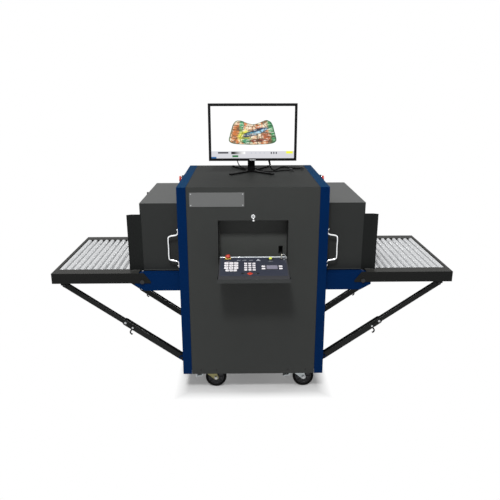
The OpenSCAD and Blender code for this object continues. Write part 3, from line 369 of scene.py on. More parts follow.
def powderCoat(name, colour, roughness, grain=900.0, depth=0.00006, wear=0.06, skin=0.22):
    # sprayed and baked powder: an orange-peel skin, faint clouds, dust and rub marks
    paint = Paint(name, **{"Specular IOR Level": skin})
    clouds = paint.noise(3.5, 3, 0.6)
    speck = paint.noise(grain, 2, 0.6)
    rub = paint.span(paint.noise(26, 6, 0.72, warp=0.6), 0.6, 0.78)
    base = paint.mixed(paint.span(clouds, 0.3, 0.7), tinted(colour, 1 - wear), tinted(colour, 1 + wear))
    base = paint.mixed(paint.span(speck, 0.35, 0.65) * 0.25, base, tinted(colour, 1.4))
    base = paint.mixed(rub * 0.1, base, tuple(value * 0.8 + 0.02 for value in colour))
    return paint.finish(base, roughness + (speck - 0.5) * 0.18 + rub * 0.08, speck + clouds * 0.4, depth, 0.55)


def brushedMetal(name, colour, roughness, along=(1, 1, 1), grain=160.0, dark=0.25, metallic=1.0):
    # drawn or plated metal: long fine scratches, faint stains
    paint = Paint(name, Metallic=metallic)
    scratch = paint.noise(grain, 4, 0.65, place=paint.stretched(along))
    stain = paint.span(paint.noise(9, 5, 0.65), 0.42, 0.75)
    base = paint.mixed(stain * dark, tinted(colour, 1.0), tinted(colour, 0.62))
    return paint.finish(base, roughness + (scratch - 0.5) * 0.22 + stain * 0.08, scratch, 0.00004, 0.35)


def rubber(name, colour, roughness, grain=600.0, depth=0.00008, dust=0.1, skin=0.2):
    paint = Paint(name, **{"Specular IOR Level": skin})
    speck = paint.noise(grain, 3, 0.6)
    dusty = paint.span(paint.noise(14, 5, 0.7), 0.45, 0.8)
    base = paint.mixed(dusty * dust, colour, (0.11, 0.105, 0.1))
    base = paint.mixed(paint.span(speck, 0.3, 0.7) * 0.35, base, tinted(colour, 1.8))
    return paint.finish(base, roughness + (speck - 0.5) * 0.15 + dusty * 0.1, speck, depth, 0.5)


def plastic(name, colour, roughness, grain=1400.0, depth=0.00003, coat=0.0, glow=0.0, skin=0.35):
    # moulded plastic: a fine spark-eroded grain and faint handling marks
    fixed = {"Coat Weight": coat, "Coat Roughness": 0.12, "Specular IOR Level": skin}
    if glow:
        fixed["Emission Strength"] = glow
    paint = Paint(name, **fixed)
    speck = paint.noise(grain, 2, 0.55)
    marks = paint.span(paint.noise(38, 5, 0.7, warp=0.4), 0.5, 0.8)
    base = paint.mixed(paint.span(speck, 0.35, 0.65) * 0.3, tinted(colour, 0.93), tinted(colour, 1.1))
    if glow:
        paint.set("Emission Color", base)
    base = paint.mixed(marks * 0.12, base, tuple(value * 0.7 + 0.06 for value in colour))
    return paint.finish(base, roughness + (speck - 0.5) * 0.12 + marks * 0.1, speck, depth, 0.5)


frameBlue = powderCoat("frame_blue", (0.0, 0.013, 0.061), 0.46, skin=0.035)
# painted highlight: a lighter blue for the side frames' top faces, standing for the light that falls on them
frameTopHighlight = powderCoat("frame_edge", (0.001, 0.031, 0.09), 0.6, skin=0.01)
# painted light: a lighter copy of the panel grey for the console bay's back wall, lifting the shade in the recess
litBayGrey = powderCoat("lit_bay_grey", (0.056, 0.059, 0.056), 0.52)
panelGrey = powderCoat("panel_grey", (0.0245, 0.026, 0.0248), 0.52)
# painted shade: the same coat as the panels, darker on the roof to offset the light from above
shadedRoofGrey = powderCoat("shaded_roof_grey", (0.0195, 0.0209, 0.02), 0.6, skin=0.04)
hoodGrey = powderCoat("hood_grey", (0.0148, 0.016, 0.0155), 0.52, skin=0.2)
# painted light: a lighter copy of the hood grey for the tunnel boxes' top faces and the highlight line along their
# foot
hoodHighlight = powderCoat("hood_highlight", (0.037, 0.0395, 0.038), 0.5, skin=0.3)
tableGrey = powderCoat("table_grey", (0.0062, 0.0064, 0.0061), 0.46, skin=0.12)
# painted light: a lighter copy of the table grey for the rails' top faces, where the light falls
railTopHighlight = powderCoat("rail_top_highlight", (0.026, 0.026, 0.024), 0.5, skin=0.1)
guardGrey = powderCoat("guard_grey", (0.0075, 0.0084, 0.0081), 0.52, skin=0.1)
braceBlack = powderCoat("brace_black", (0.0085, 0.009, 0.0088), 0.42, skin=0.14)
boltBlack = brushedMetal("bolt_black", (0.03, 0.03, 0.032), 0.42, (1, 1, 1), 200, 0.2, 0.7)
bedSteel = brushedMetal("bed_steel", (0.085, 0.086, 0.088), 0.45, (0.06, 1, 1), 160, 0.3, 0.6)
chassisBlack = powderCoat("chassis_black", (0.022, 0.023, 0.024), 0.55)
steel = brushedMetal("steel", (0.5, 0.51, 0.52), 0.34, (0.06, 1, 1))
zinc = brushedMetal("zinc", (0.42, 0.45, 0.46), 0.36, (1, 1, 0.2), 90, 0.5)
brassyZinc = brushedMetal("brassy_zinc", (0.26, 0.24, 0.115), 0.36, (1, 1, 0.2), 90, 0.6)
rollerShell = brushedMetal("roller_shell", (0.64, 0.65, 0.66), 0.36, (1, 0.04, 1), 130, 0.1, 0.3)
capGrey = plastic("roller_cap", (0.1, 0.1, 0.105), 0.45)
chrome = brushedMetal("handle_metal", (0.9, 0.91, 0.92), 0.16, (1, 1, 0.15), 60, 0.08)
beltRubber = rubber("belt_rubber", (0.01, 0.01, 0.011), 0.62)
curtainRubber = rubber("curtain_rubber", (0.011, 0.011, 0.012), 0.58, 240, 0.00012)
tyreRubber = rubber("wheel_rubber", (0.0036, 0.0036, 0.0036), 0.62, 500, 0.0001, 0.05, 0.05)
cableRubber = rubber("cable_rubber", (0.0035, 0.0035, 0.0038), 0.45, 900, 0.00003, 0.03, 0.05)
standBlack = plastic("stand_black", (0.0035, 0.0035, 0.0038), 0.5, skin=0.03)
keypadNavy = plastic("keypad_navy", (0.033, 0.037, 0.054), 0.4, skin=0.3)
caseGrey = plastic("case_grey", (0.036, 0.036, 0.04), 0.5, skin=0.3)
keyWhite = plastic("key_white", (0.84, 0.81, 0.84), 0.4)
keyBlack = plastic("key_black", (0.01, 0.01, 0.012), 0.4)
stopRed = plastic("stop_red", (0.52, 0.05, 0.028), 0.26, coat=0.5)
collarYellow = plastic("collar_yellow", (0.84, 0.64, 0.16), 0.35)
trayGrey = powderCoat("tray_grey", (0.03, 0.032, 0.032), 0.5)
powerGreen = plastic("power_green", (0.7, 0.78, 0.08), 0.18, coat=0.6, glow=0.25)
# partly painted highlight: the keypad's glossy blue rear strip, painted near-white for the light it reflects
edgeBlueHighlight = plastic("edge_blue_highlight", (0.88, 0.94, 1.0), 0.14, coat=1.0)
legendGrey = plastic("legend_grey", (0.4, 0.42, 0.46), 0.5)
legendDark = plastic("legend_dark", (0.16, 0.16, 0.18), 0.5)
keyMetal = brushedMetal("key_metal", (0.62, 0.58, 0.48), 0.32, (1, 1, 0.2), 120)
monitorBlack = plastic("monitor_black", (0.004, 0.004, 0.0044), 0.42, skin=0.1)
monitorBack = plastic("monitor_back", (0.012, 0.012, 0.013), 0.55, 700, 0.00012)
hubGrey = plastic("hub_grey", (0.02, 0.02, 0.023), 0.42)
badgeGrey = brushedMetal("badge_grey", (0.136, 0.139, 0.138), 0.4, (0.05, 1, 1), 700, 0.1, 0.6)
darkHole = plastic("socket_black", (0.006, 0.006, 0.006), 0.55)
circuitGreen = plastic("circuit_green", (0.04, 0.16, 0.08), 0.45)
print("paints mixed")


# the monitor's two cables and the mains plug
videoLead = {"diameter": 0.006, "length": 0.468, "points": [(-0.089, 0.127, 1.3695), (-0.089, 0.127, 1.344),
    (-0.087, 0.128, 1.315), (-0.079, 0.134, 1.287), (-0.06, 0.151, 1.266), (-0.036, 0.169, 1.258),
    (-0.005, 0.177, 1.257), (0.027, 0.166, 1.2565), (0.053, 0.141, 1.2495), (0.079, 0.119, 1.2456),
    (0.11, 0.109, 1.2454), (0.145, 0.116, 1.2454), (0.18, 0.142, 1.2454), (0.21, 0.158, 1.2454),
    (0.243, 0.158, 1.2454)]}
powerLead = {"diameter": 0.008, "length": 0.338, "points": [(0.121, 0.144, 1.271), (0.129, 0.151, 1.257),
    (0.139, 0.162, 1.2486), (0.152, 0.183, 1.2464), (0.165, 0.214, 1.2464), (0.178, 0.252, 1.2464),
    (0.195, 0.291, 1.2464), (0.216, 0.309, 1.2464), (0.237, 0.3, 1.2464), (0.25, 0.277, 1.2464),
    (0.266, 0.256, 1.2464), (0.288, 0.243, 1.2464), (0.318, 0.243, 1.2464)]}


def lineLength(line):
    return sum((b - a).length for a, b in zip(line, line[1:]))


videoTube, videoLine = makeTube("videoCable", videoLead["points"], videoLead["diameter"] / 2, 16)
powerTube, powerLine = makeTube("powerCable", powerLead["points"], powerLead["diameter"] / 2, 16)
print("video cable", round(lineLength(videoLine), 4), "power cable", round(lineLength(powerLine), 4))
for tube, node in ((videoTube, "video_cable"), (powerTube, "power_cable")):
    tube.data.materials.append(cableRubber)
    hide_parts(node)
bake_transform(videoTube)
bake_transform(powerTube)

plugTop = Vector((0.104, 0.127, 1.3695))
ribPitch = 0.0042
plugBody = makeTurned("plugBody", [(6, 0), (8.6, 1), (10, 3.5), (10, 27), (9.4, 30), (9.2, 34), (7.8, 37.5),
    (7, 40)], plugTop, (0, 0, -1), 28)
plugGrip = [makeTurned("plugRib", [(9.8, 0), (10.7, 0.6), (10.7, 1.4), (9.8, 2)],
    plugTop - Vector((0, 0, 0.009 + ribPitch * i)), (0, 0, -1), 28) for i in range(4)]
reliefTop = plugTop - Vector((0, 0, 0.03))
reliefWay = Vector(powerLead["points"][0]) + Vector((0.001, 0.001, -0.002)) - reliefTop
reliefLong = reliefWay.length * 1000
reliefOutline = [(7.5, 0)]
for step in range(7):
    share = step / 7
    size = 7.8 - 2.6 * share
    reliefOutline += [(size, (share + 0.02) * reliefLong), (size, (share + 0.09) * reliefLong),
        (size - 1.2, (share + 0.095) * reliefLong), (size - 1.2, (share + 0.138) * reliefLong)]
relief = makeTurned("plugRelief", reliefOutline + [(4.6, reliefLong)], reliefTop, reliefWay, 24)
powerPlug = finishPiece(joinPieces("powerPlug", [plugBody, relief, *plugGrip]), "display",
    cableRubber, "power_plug")
print("cables laid")


# small hardware that repeats, its sizes in mm
def screwHead(name, radius):
    height = radius * 0.42
    return makeTurned(name, [(radius, 0), (radius, height * 0.45), (radius * 0.82, height * 0.86),
        (radius * 0.55, height), (radius * 0.44, height), (radius * 0.4, height * 0.35)], around=14)


def hexBolt(name, across, height):
    # a flanged hexagon head
    washer = makeTurned(name, [(across * 0.74, 0), (across * 0.74, height * 0.14), (across * 0.7, height * 0.22),
        (across * 0.5, height * 0.26)], around=28)
    head = makeTurned(name + "Head", [(across * 0.577, height * 0.2), (across * 0.577, height * 0.88),
        (across * 0.5, height), (across * 0.22, height)], around=6, angle=20)
    return joinPieces(name, [washer, head])


def setOut(name, maker, places, towards, body, slotName, paint, **details):
    # one fastener is made, then copied to each place and joined
    first = maker(name + "One", **details)
    turn = Vector((0, 0, 1)).rotation_difference(Vector(towards)).to_matrix().to_4x4()
    copies = [copyTo(first, name + "Copy", Matrix.Translation(place) @ turn) for place in places]
    bpy.data.objects.remove(first)
    return finishPiece(joinPieces(name, copies), body, paint)


def setScrews(name, places, towards, paint, slotName="steel", radius=4.2):
    setOut(name, screwHead, places, towards, "cabinet", slotName, paint, radius=radius)


# cabinet
cabinet = {"halfWidth": 0.41, "halfDepth": 0.4225, "lock": (0, -0.4225, 1.083), "catch": (0.002, -0.42285, 1.0608),
    "badge": ((-0.342, 1.137), (-0.048, 1.214)), "slot": ((0.1465, 0.84), (0.1715, 0.886)), "inlet": (-0.249, 0.252)}
lock, inlet, wall = cabinet["lock"], cabinet["inlet"], cabinet["halfDepth"]
(badgeLow, badgeHigh), (slotLow, slotHigh) = cabinet["badge"], cabinet["slot"]
for side, way in sides.items():
    shell = dressNode(side + "_side_frame", "cabinet", frameBlue, 0.0009)
    tintFaces(shell, monitorBack, lambda c, n: abs(c.x) > 0.4105 and abs(c.y) < 0.024 and c.z > 1.19)
    # painted highlight on the side frames' top faces, lit from above
    tintFaces(shell, frameTopHighlight, lambda c, n: n.z > 0.7 and c.z > 1.2)

frontPanel = dressNode("front_panel", "cabinet", panelGrey, 0.0008)
tintFaces(frontPanel, badgeGrey, lambda c, n: c.y < -0.42255 and badgeLow[0] - 0.001 < c.x < badgeHigh[0] + 0.001
    and badgeLow[1] - 0.001 < c.z < badgeHigh[1] + 0.001)
# painted light: the bay's back wall, in the recess, gets the lighter copy of the panel grey
tintFaces(frontPanel, litBayGrey, lambda c, n: c.y > -0.3135)
setScrews("footScrews", [(x, -0.4224, 0.158) for x in (-0.307, -0.216, 0.206, 0.31)], (0, -1, 0), darkHole,
    radius=4.8)
rearPanel = dressNode("rear_panel", "cabinet", panelGrey, 0.0006)
tintFaces(rearPanel, darkHole, lambda c, n: abs(c.x - inlet[0]) < 0.0325 and abs(c.z - inlet[1]) < 0.0265)
# painted shade: the roof gets a darker copy of the panel coat
topPanel = dressNode("top_panel", "cabinet", shadedRoofGrey, 0.0008)
tintFaces(topPanel, monitorBack, lambda c, n: c.z > 1.2422)

turnedPiece("lockRing", [(11.2, 0), (11.2, 4), (10.4, 4.9), (9, 5.2), (8, 4.6), (7.8, 3), (7.8, 0)], lock,
    (0, -1, 0), 36, "cabinet", chrome, ring=True)
turnedPiece("lockCore", [(7.7, 0), (7.7, 4.2), (7, 4.6), (3, 4.7)], lock, (0, -1, 0), 28, "cabinet", steel)
keyway = makeBox("lockKeyway", (-0.0009, -0.4275, lock[2] - 0.0048), (0.0009, -0.4268, lock[2] + 0.0048), 0.0003)
finishPiece(keyway, "cabinet", darkHole)
turnedPiece("catchPin", [(6, 0), (6, 1.4), (5.2, 2.4), (3, 3), (1.2, 3.1)], cabinet["catch"], (0, -1, 0), 28,
    "cabinet", chrome)
# a black frame round the slot at the back of the console bay
slotFrame = makeBox("slotFrame", (slotLow[0], -0.3142, slotLow[1]), (slotHigh[0], -0.3122, slotHigh[1]))
editMode(slotFrame)
choose(lambda c, n: abs(n.y) > 0.9)
bpy.ops.mesh.inset(thickness=0.003)
bpy.ops.mesh.delete(type="FACE")
bpy.ops.mesh.select_mode(type="EDGE")
bpy.ops.mesh.select_all(action="DESELECT")
bpy.ops.mesh.select_non_manifold()
bpy.ops.mesh.bridge_edge_loops()
facesOut()
objectMode()
finishPiece(roundEdges(slotFrame, 0.0005), "cabinet", darkHole)

rivetIn = 0.008
setScrews("badgeRivets", [(x, -0.424, z) for x in (badgeLow[0] + rivetIn, badgeHigh[0] - rivetIn)
    for z in (badgeLow[1] + rivetIn, badgeHigh[1] - rivetIn)], (0, -1, 0), steel, radius=3)
setScrews("rearScrews", [(x, wall, z) for x in (-0.348, 0.348) for z in (0.16, 0.34, 0.52, 0.7, 0.88, 1.06, 1.21)]
    + [(x, wall, z) for x in (-0.18, 0, 0.18) for z in (0.146, 1.226)], (0, 1, 0), braceBlack)
setScrews("inletScrews", [(inlet[0] + x, 0.4233, inlet[1]) for x in (-0.024, 0.024)], (0, 1, 0), steel, radius=2.8)
setScrews("postScrewsFront", [(x, -wall, z) for x in (-0.385, 0.385) for z in (0.15, 1.222)], (0, -1, 0), frameBlue,
    "frame_blue", radius=3.6)
for side, way in sides.items():
    setScrews(side + "FrameScrews", [(way * cabinet["halfWidth"], y, z) for y in (-0.4, 0.4)
        for z in (0.22, 0.46, 1.12)], (way, 0, 0), frameBlue, "frame_blue")
for node, paint in {"chassis": chassisBlack, "tunnel": panelGrey, "xray_generator": zinc,
        "detector_array": circuitGreen, "computer": steel}.items():
    cadNodes[node].data.materials.clear()
    cadNodes[node].data.materials.append(paint)
print("cabinet dressed")


# bag tunnel, curtains and conveyor
mouth = {"stripX": 0.5943, "halfWidth": 0.263, "low": 0.754, "high": 1.086, "strips": 10, "gap": 0.0015,
    "thickness": 0.0024}
for side, way in sides.items():
    hood = dressNode(side + "_tunnel_box", "cabinet", hoodGrey, 0.0011)
    # painted light on the hood's top faces
    tintFaces(hood, hoodHighlight, lambda c, n: n.z > 0.6 and c.z > 1.1)
    tintFaces(hood, guardGrey, lambda c, n: abs(c.x) > 0.629 and c.z < 1.0775)
    for face in (-1, 1):
        # the folded seam between the box and its guard, the guard's outer face and the lip along the foot, whose
        # lighter paint is a painted highlight line
        place = "Front" if face < 0 else "Rear"
        nearY, farY = face * 0.3296, face * 0.3316
        seam = makeBox("seam", (way * 0.6225, nearY, 0.75), (way * 0.6285, farY, 1.077), 0.0006)
        cover = makeBox("guardFace", (way * 0.629, nearY, 0.753), (way * 0.6755, face * 0.3307, 1.0742), 0.0003)
        finishPiece(joinPieces(f"{side}GuardFace{place}", [seam, cover]), "cabinet", guardGrey)
        lip = makeBox(f"{side}BoxLipHighlight{place}", (way * 0.4105, nearY, 0.7495), (way * 0.622, farY, 0.754), 0.0006)
        finishPiece(lip, "cabinet", hoodHighlight)
        # the cover over the drum's bearing, at the end of the conveyor's side plate; a dark plate that also stands
        # as painted shade under the box's foot
        cover = makeBox(f"{side}DrumShadeCover{place}", (way * 0.57, face * 0.2645, 0.696),
            (way * 0.64, face * 0.2672, 0.7415), 0.0012)
        finishPiece(cover, "cabinet", boltBlack)
    for name, face in (("BoxRivets", -1), ("BoxRearRivets", 1)):
        setScrews(side + name, [(way * 0.419, face * 0.33, z) for z in (0.79, 0.9, 1.01, 1.11)], (0, face, 0),
            hoodGrey, "hood_grey", radius=3.6)
    strips = []
    wide = 2 * mouth["halfWidth"] / mouth["strips"]
    for i in range(mouth["strips"]):
        strip = addNew(bpy.ops.mesh.primitive_grid_add, "strip", x_subdivisions=6, y_subdivisions=24, size=1)
        strip.scale = (wide - mouth["gap"], mouth["high"] - mouth["low"], 1)
        strip.rotation_euler = (math.pi / 2, 0, math.pi / 2)
        settle(strip)
        strip.location = (0, -mouth["halfWidth"] + (i + 0.5) * wide, (mouth["high"] + mouth["low"]) / 2)
        settle(strip)
        for point in strip.data.vertices:
            drop = mouth["high"] - point.co.z
            across = (point.co.y + mouth["halfWidth"]) / wide - i - 0.5
            curl = 0.0016 * math.sin(1.7 * i + 9 * drop) * drop * 3 + 0.006 * drop * math.sin(2.3 * i + 0.7)
            point.co.x += curl + 0.002 * (across * across * 4) * drop * 3 * (1 if i % 2 else -0.6)
        strips.append(useModifier(strip, "SOLIDIFY", thickness=mouth["thickness"], offset=0))
    curtain = joinPieces(side + "Curtain", strips)
    curtain.data.transform(Matrix.Translation((way * mouth["stripX"], 0, 0)))
    finishPiece(smoothFaces(curtain, 50), "cabinet", curtainRubber,
        "curtains" if side == "left" else None)
dressNode("belt", "cabinet", beltRubber, 0.0005, angle=50, name="conveyorBelt")
for node in ("drive_drum", "tail_drum"):
    dressNode(node, node + "_shaft", steel, 0.0008)
dressNode("conveyor_bed", "cabinet", bedSteel, 0.0004)
print("tunnel and conveyor dressed")


# folding tables
table = {"firstX": 1.101, "pitch": 0.0384, "height": 0.737, "count": 12, "free": 6}
rollerOutline = [(3.4, -317.8), (4, -317), (4, -312.8), (8.8, -312.6), (9.2, -311.2), (11.6, -311), (12.2, -310.2),
    (12.6, -310), (14, -311), (14.8, -310.4), (15, -309.6), (15, -302)]
rollerOutline += [(radius, -height) for radius, height in reversed(rollerOutline)]
roller = makeTurned("rollerFirst", rollerOutline, towards=(0, 1, 0))
roller.data.materials.append(rollerShell)
tintFaces(roller, capGrey, lambda c, n: abs(c.y) > 0.3098 and math.hypot(c.x, c.z) < 0.0127)
tintFaces(roller, steel, lambda c, n: abs(c.y) > 0.3127 and math.hypot(c.x, c.z) < 0.0086)


for side, way in sides.items():
    frameTable = dressNode(side + "_table_frame", side + "_table", tableGrey, 0.0007,
        trim=lambda c, n: abs(c.y) < 0.3129 and 0.655 < abs(c.x) < 0.89 and c.z > 0.7215)
    # painted light on the rails' top faces
    tintFaces(frameTable, railTopHighlight, lambda c, n: n.z > 0.8 and c.z > 0.745)
    tintFaces(frameTable, boltBlack, lambda c, n: math.hypot(abs(c.x) - 0.625, c.z - 0.699) < 0.0125
        and (abs(c.y) > 0.3879 or abs(c.y) < 0.3338))
    for i in range(1, table["count"] + 1):
        x = way * (table["firstX"] - (i - 1) * table["pitch"])
        copy = copyTo(roller, f"{side}Roller{i}", Matrix.Translation((x, 0, table["height"])))
        free = i <= table["free"]
        finishPiece(copy, f"{side}_roller_{i}_tube" if free else side + "_table", None,
            f"{side}_roller_{i}" if free else None)
bpy.data.objects.remove(roller)

brace = {"knee": (0.75749, 0.4091), "head": (1.095, 0.648), "latch": (0.71504, 0.37906), "y": 0.285}


def nearPin(place, pin, radius, out):
    # on a pin's end, further than out from the brace's middle
    spot = brace[pin]
    return math.hypot(abs(place.x) - spot[0], place.z - spot[1]) < radius and abs(abs(place.y) - brace["y"]) > out


for side, way in sides.items():
    lower = dressNode(side + "_lower_braces", side + "_lower_links", braceBlack, 0.0006)
    tintFaces(lower, steel, lambda c, n: nearPin(c, "knee", 0.0072, 0.0162) or nearPin(c, "latch", 0.0062, 0.0162))
    upper = dressNode(side + "_upper_braces", side + "_upper_links", braceBlack, 0.0006)
    tintFaces(upper, boltBlack, lambda c, n: nearPin(c, "head", 0.0072, 0.0122))
    dressNode(side + "_brace_latches", side + "_latches", braceBlack, 0.0007)
print("tables and braces dressed")


# grab handles: one bent rod, modelled once and mirrored to its four places
handle = {"radius": 0.005, "gripX": 0.47, "wallX": 0.4151, "y": 0.3705, "low": 0.831, "high": 0.951, "foot": 0.052}
half, gripX, wallX = (handle["high"] - handle["low"]) / 2, handle["gripX"], handle["wallX"]
upper = [(gripX, half * 0.1), (gripX, half - 0.006), (gripX - 0.0022, half + 0.004), (gripX - 0.011, half + 0.0095),
    (0.443, half + 0.0125), (wallX + 0.011, half + 0.016), (wallX + 0.003, half + 0.0205), (wallX, half + 0.03),
    (wallX, half + 0.041), (wallX, half + handle["foot"])]
handleWay = [(x, 0, -z) for x, z in reversed(upper)] + [(x, 0, z) for x, z in upper]
parts = [makeTube("handleRod", handleWay, handle["radius"], 20)[0]]
for height in (-1, 1):
    parts.append(makeTurned("handleScrew", [(4.8, 0), (4.8, 1.4), (4, 2.4), (2.2, 2.7)],
        (wallX + 0.0046, 0, height * (half + 0.044)), (1, 0, 0), 20))
rod = joinPieces("handleRod", parts)
handles = []
for way in sides.values():
    for depth in ends.values():
        spot = Matrix.Translation((0, depth * handle["y"], (handle["high"] + handle["low"]) / 2))
        handles.append(copyTo(rod, "handle", spot @ Matrix.Diagonal((way, 1, 1, 1))))
bpy.data.objects.remove(rod)
finishPiece(joinPieces("grabHandles", handles), "cabinet", chrome, "grab_handles")


# casters
caster = {"x": 0.265, "y": 0.326, "trail": 0.042, "axle": 0.0635}
tyreOutline = [(46.2, -12), (49, -13.6), (53, -15.4), (57.8, -15.8), (61.2, -13.8), (62.8, -10), (63.4, -5),
    (63.5, 0)]
tyreOutline += [(radius, -height) for radius, height in reversed(tyreOutline[:-1])]
hubOutline = [(6.1, -17.2), (13.5, -17.2), (15, -16), (15.6, -10), (19, -7.8), (41, -7.4), (43.2, -9),
    (43.8, -12.8), (46.8, -12.8)]
hubOutline += [(radius, -height) for radius, height in reversed(hubOutline)]
tyre = makeTurned("tyreFirst", tyreOutline, towards=(0, 1, 0), around=64, ring=True, angle=50)
tyre.data.materials.append(tyreRubber)
hub = makeTurned("hubFirst", hubOutline, towards=(0, 1, 0), around=48, ring=True)
ribs = []
for face in (-1, 1):
    for step in range(8):
        rib = makeBox("hubRib", (0.015, face * 0.007, -0.0014), (0.0436, face * 0.0122, 0.0014), 0.0005)
        rib.data.transform(Matrix.Rotation(math.radians(45 * step), 4, "Y"))
        ribs.append(rib)
hub = joinPieces("hubFirst", [hub, *ribs])
hub.data.materials.append(hubGrey)
for end, depth in ends.items():
    for side, way in sides.items():
        name = f"{end}_{side}"
        words = inCamelCase(name)
        brassy = name in ("front_left", "rear_right")
        dressNode(name + "_fork", name + "_caster", brassyZinc if brassy else zinc, 0.0006)
        move = Matrix.Translation((way * caster["x"] + caster["trail"], depth * caster["y"], caster["axle"]))
        finishPiece(copyTo(tyre, words + "Tyre", move), name + "_tread", None, name + "_wheel")
        finishPiece(copyTo(hub, words + "Hub", move), name + "_tread", None)
        for face in (-1, 1):
            setOut(f"{words}AxleNut{'Outer' if face == depth else 'Inner'}", hexBolt,
                [move.translation + Vector((0, face * 0.0213, 0))], (0, face, 0), name + "_caster", "zinc", steel,
                across=16, height=9.5)
        if end == "front":
            dressNode(name + "_brake_pedal", name + "_brake", zinc, 0.0006, name=words + "Pedal")
for spare in (tyre, hub):
    bpy.data.objects.remove(spare)
print("casters dressed")


# side stop buttons
sideStop = {"headX": 0.4263, "collarX": 0.4221, "z": 1.219, "head": [(7.2, -9), (7.2, 0.1), (14.2, 0.2), (16, 1.2),
    (18.4, 5.2), (18.9, 7.2), (18.6, 9), (16.8, 11.2), (13, 12.4), (6, 12.9)],
    "collar": [(8.2, 0.1), (20, 0.1), (21.4, -0.3), (22.2, -2.3), (22.2, -11), (21.2, -12.2), (8.2, -12.2)]}
for side, way in sides.items():
    turnedPiece(side + "StopHead", sideStop["head"], (way * sideStop["headX"], 0, sideStop["z"]), (way, 0, 0), 40,
        side + "_stop", stopRed, side + "_stop_button")
    turnedPiece(side + "StopCollar", sideStop["collar"], (way * sideStop["collarX"], 0, sideStop["z"]), (way, 0, 0),
        40, "cabinet", monitorBack, ring=True)
print("stop buttons dressed")


# console: folding tray, keypad, keys and buttons
console = {"rearY": -0.4265, "frontY": -0.6705, "frontZ": 0.813, "rearZ": 0.855, "stop": (-0.138, 0.022),
    "power": (0.094, 0.028), "switch": (0.154, 0.029)}
slope = math.atan2(console["rearZ"] - console["frontZ"], console["rearY"] - console["frontY"])
keypadTurn = Matrix.Translation((0, console["rearY"], console["rearZ"])) @ Matrix.Rotation(slope, 4, "X")


def onKeypad(x, back):
    # a place on the keypad's face, measured from its rear edge towards the user
    return keypadTurn @ Vector((x, -back, 0))


def laidOn(piece, paint):
    # a piece modelled flat, laid on the keypad's slope
    piece.data.transform(keypadTurn)
    return finishPiece(piece, "console", paint)


def shift(piece, x, y, z=0.0, turn=0.0):
    piece.data.transform(Matrix.Translation((x, y, z)) @ Matrix.Rotation(math.radians(turn), 4, "Z"))
    return piece


dressNode("console_tray", "console", trayGrey, 0.001)
dressNode("keypad", "console", caseGrey, 0.0016, 3, name="keypadCase")
print("keypad case ready")

# the glossy rear strip, its near-white paint a painted highlight
laidOn(makeBox("rearStrip", (-0.1825, -0.0066, -0.002), (0.1825, -0.0006, 0.0026), 0.0018, 4), edgeBlueHighlight)


def keyCap(name, width, depth, height=0.0018, corner=0.003, crown=0.0004):
    # a rounded key: a plane with its corners cut, pushed up, drawn in and pushed again
    key = addNew(bpy.ops.mesh.primitive_plane_add, name, size=1)
    key.scale = (width, depth, 1)
    editMode(settle(key), "SELECT")
    bpy.ops.mesh.bevel(offset=corner, segments=4, affect="VERTICES")
    bpy.ops.mesh.extrude_region_move(TRANSFORM_OT_translate={"value": (0, 0, height)})
    objectMode()
    editMode(key)
    choose(lambda c, n: c.z > height * 0.9 and abs(n.z) > 0.9)
    bpy.ops.mesh.inset(thickness=0.0007, depth=crown)
    bpy.ops.mesh.inset(thickness=0.0011, depth=crown * 0.2)
    facesOut()
    objectMode()
    return smoothFaces(key, 45)


def digitOn(text, size, height=0.00035):
    # a printed figure, raised a hair
    clearSelection()
    bpy.ops.object.text_add()
    letters = bpy.context.object
    letters.data.body = text
    letters.data.size = size
    letters.data.align_x = letters.data.align_y = "CENTER"
    letters.data.extrude = height / 2
    bpy.ops.object.convert(target="MESH")
    return settle(bpy.context.object)


laidOn(shift(keyCap("membrane", 0.355, 0.2065, 0.0005, 0.006, 0.0001), 0, -0.1105), keypadNavy)

keyRows = {"numberX": (-0.042, -0.02, 0.002), "numberBack": 0.0785, "numberPitch": 0.0238,
    "number": (0.0156, 0.0156), "menuX": (-0.145, -0.119, -0.093), "narrowX": (-0.14, -0.119, -0.098),
    "menuBack": 0.074, "menuPitch": 0.027, "menu": (0.0226, 0.0216), "sideX": (0.052, 0.144),
    "sideBack": (0.112, 0.137), "side": (0.019, 0.015), "smallX": (-0.059, 0.02), "smallBack": 0.188,
    "small": (0.0166, 0.0136)}
numberCap = keyCap("numberCap", *keyRows["number"])
menuCap = keyCap("menuCap", *keyRows["menu"], corner=0.0055)
narrowCap = keyCap("narrowCap", 0.0176, keyRows["menu"][1], corner=0.005)
sideCap = keyCap("sideCap", *keyRows["side"])
smallCap = keyCap("smallCap", *keyRows["small"])
caps, figures = [], []
digits = "123456789*0#"
for row in range(4):
    for column, x in enumerate(keyRows["numberX"]):
        y = -(keyRows["numberBack"] + row * keyRows["numberPitch"])
        caps.append(copyTo(numberCap, "numberKey", Matrix.Translation((x, y, 0))))
        figures.append(shift(digitOn(digits[row * 3 + column], 0.0105), x, y, 0.0023))
marks = [
    [("arrow", 90), ("bar", 0), ("arrow", -90)],
    [("ring", 0), ("cross", 0), ("ring", 1)],
    [("arrow", 180), ("ring", 2), ("arrow", 0)],
    [("bar", 90), ("cross", 45), ("bar", 0)],
]


def threeSided(radius, depth, place):
    # a thin triangle
    return addNew(bpy.ops.mesh.primitive_cylinder_add, "mark", vertices=3, radius=radius, depth=depth,
        location=place)


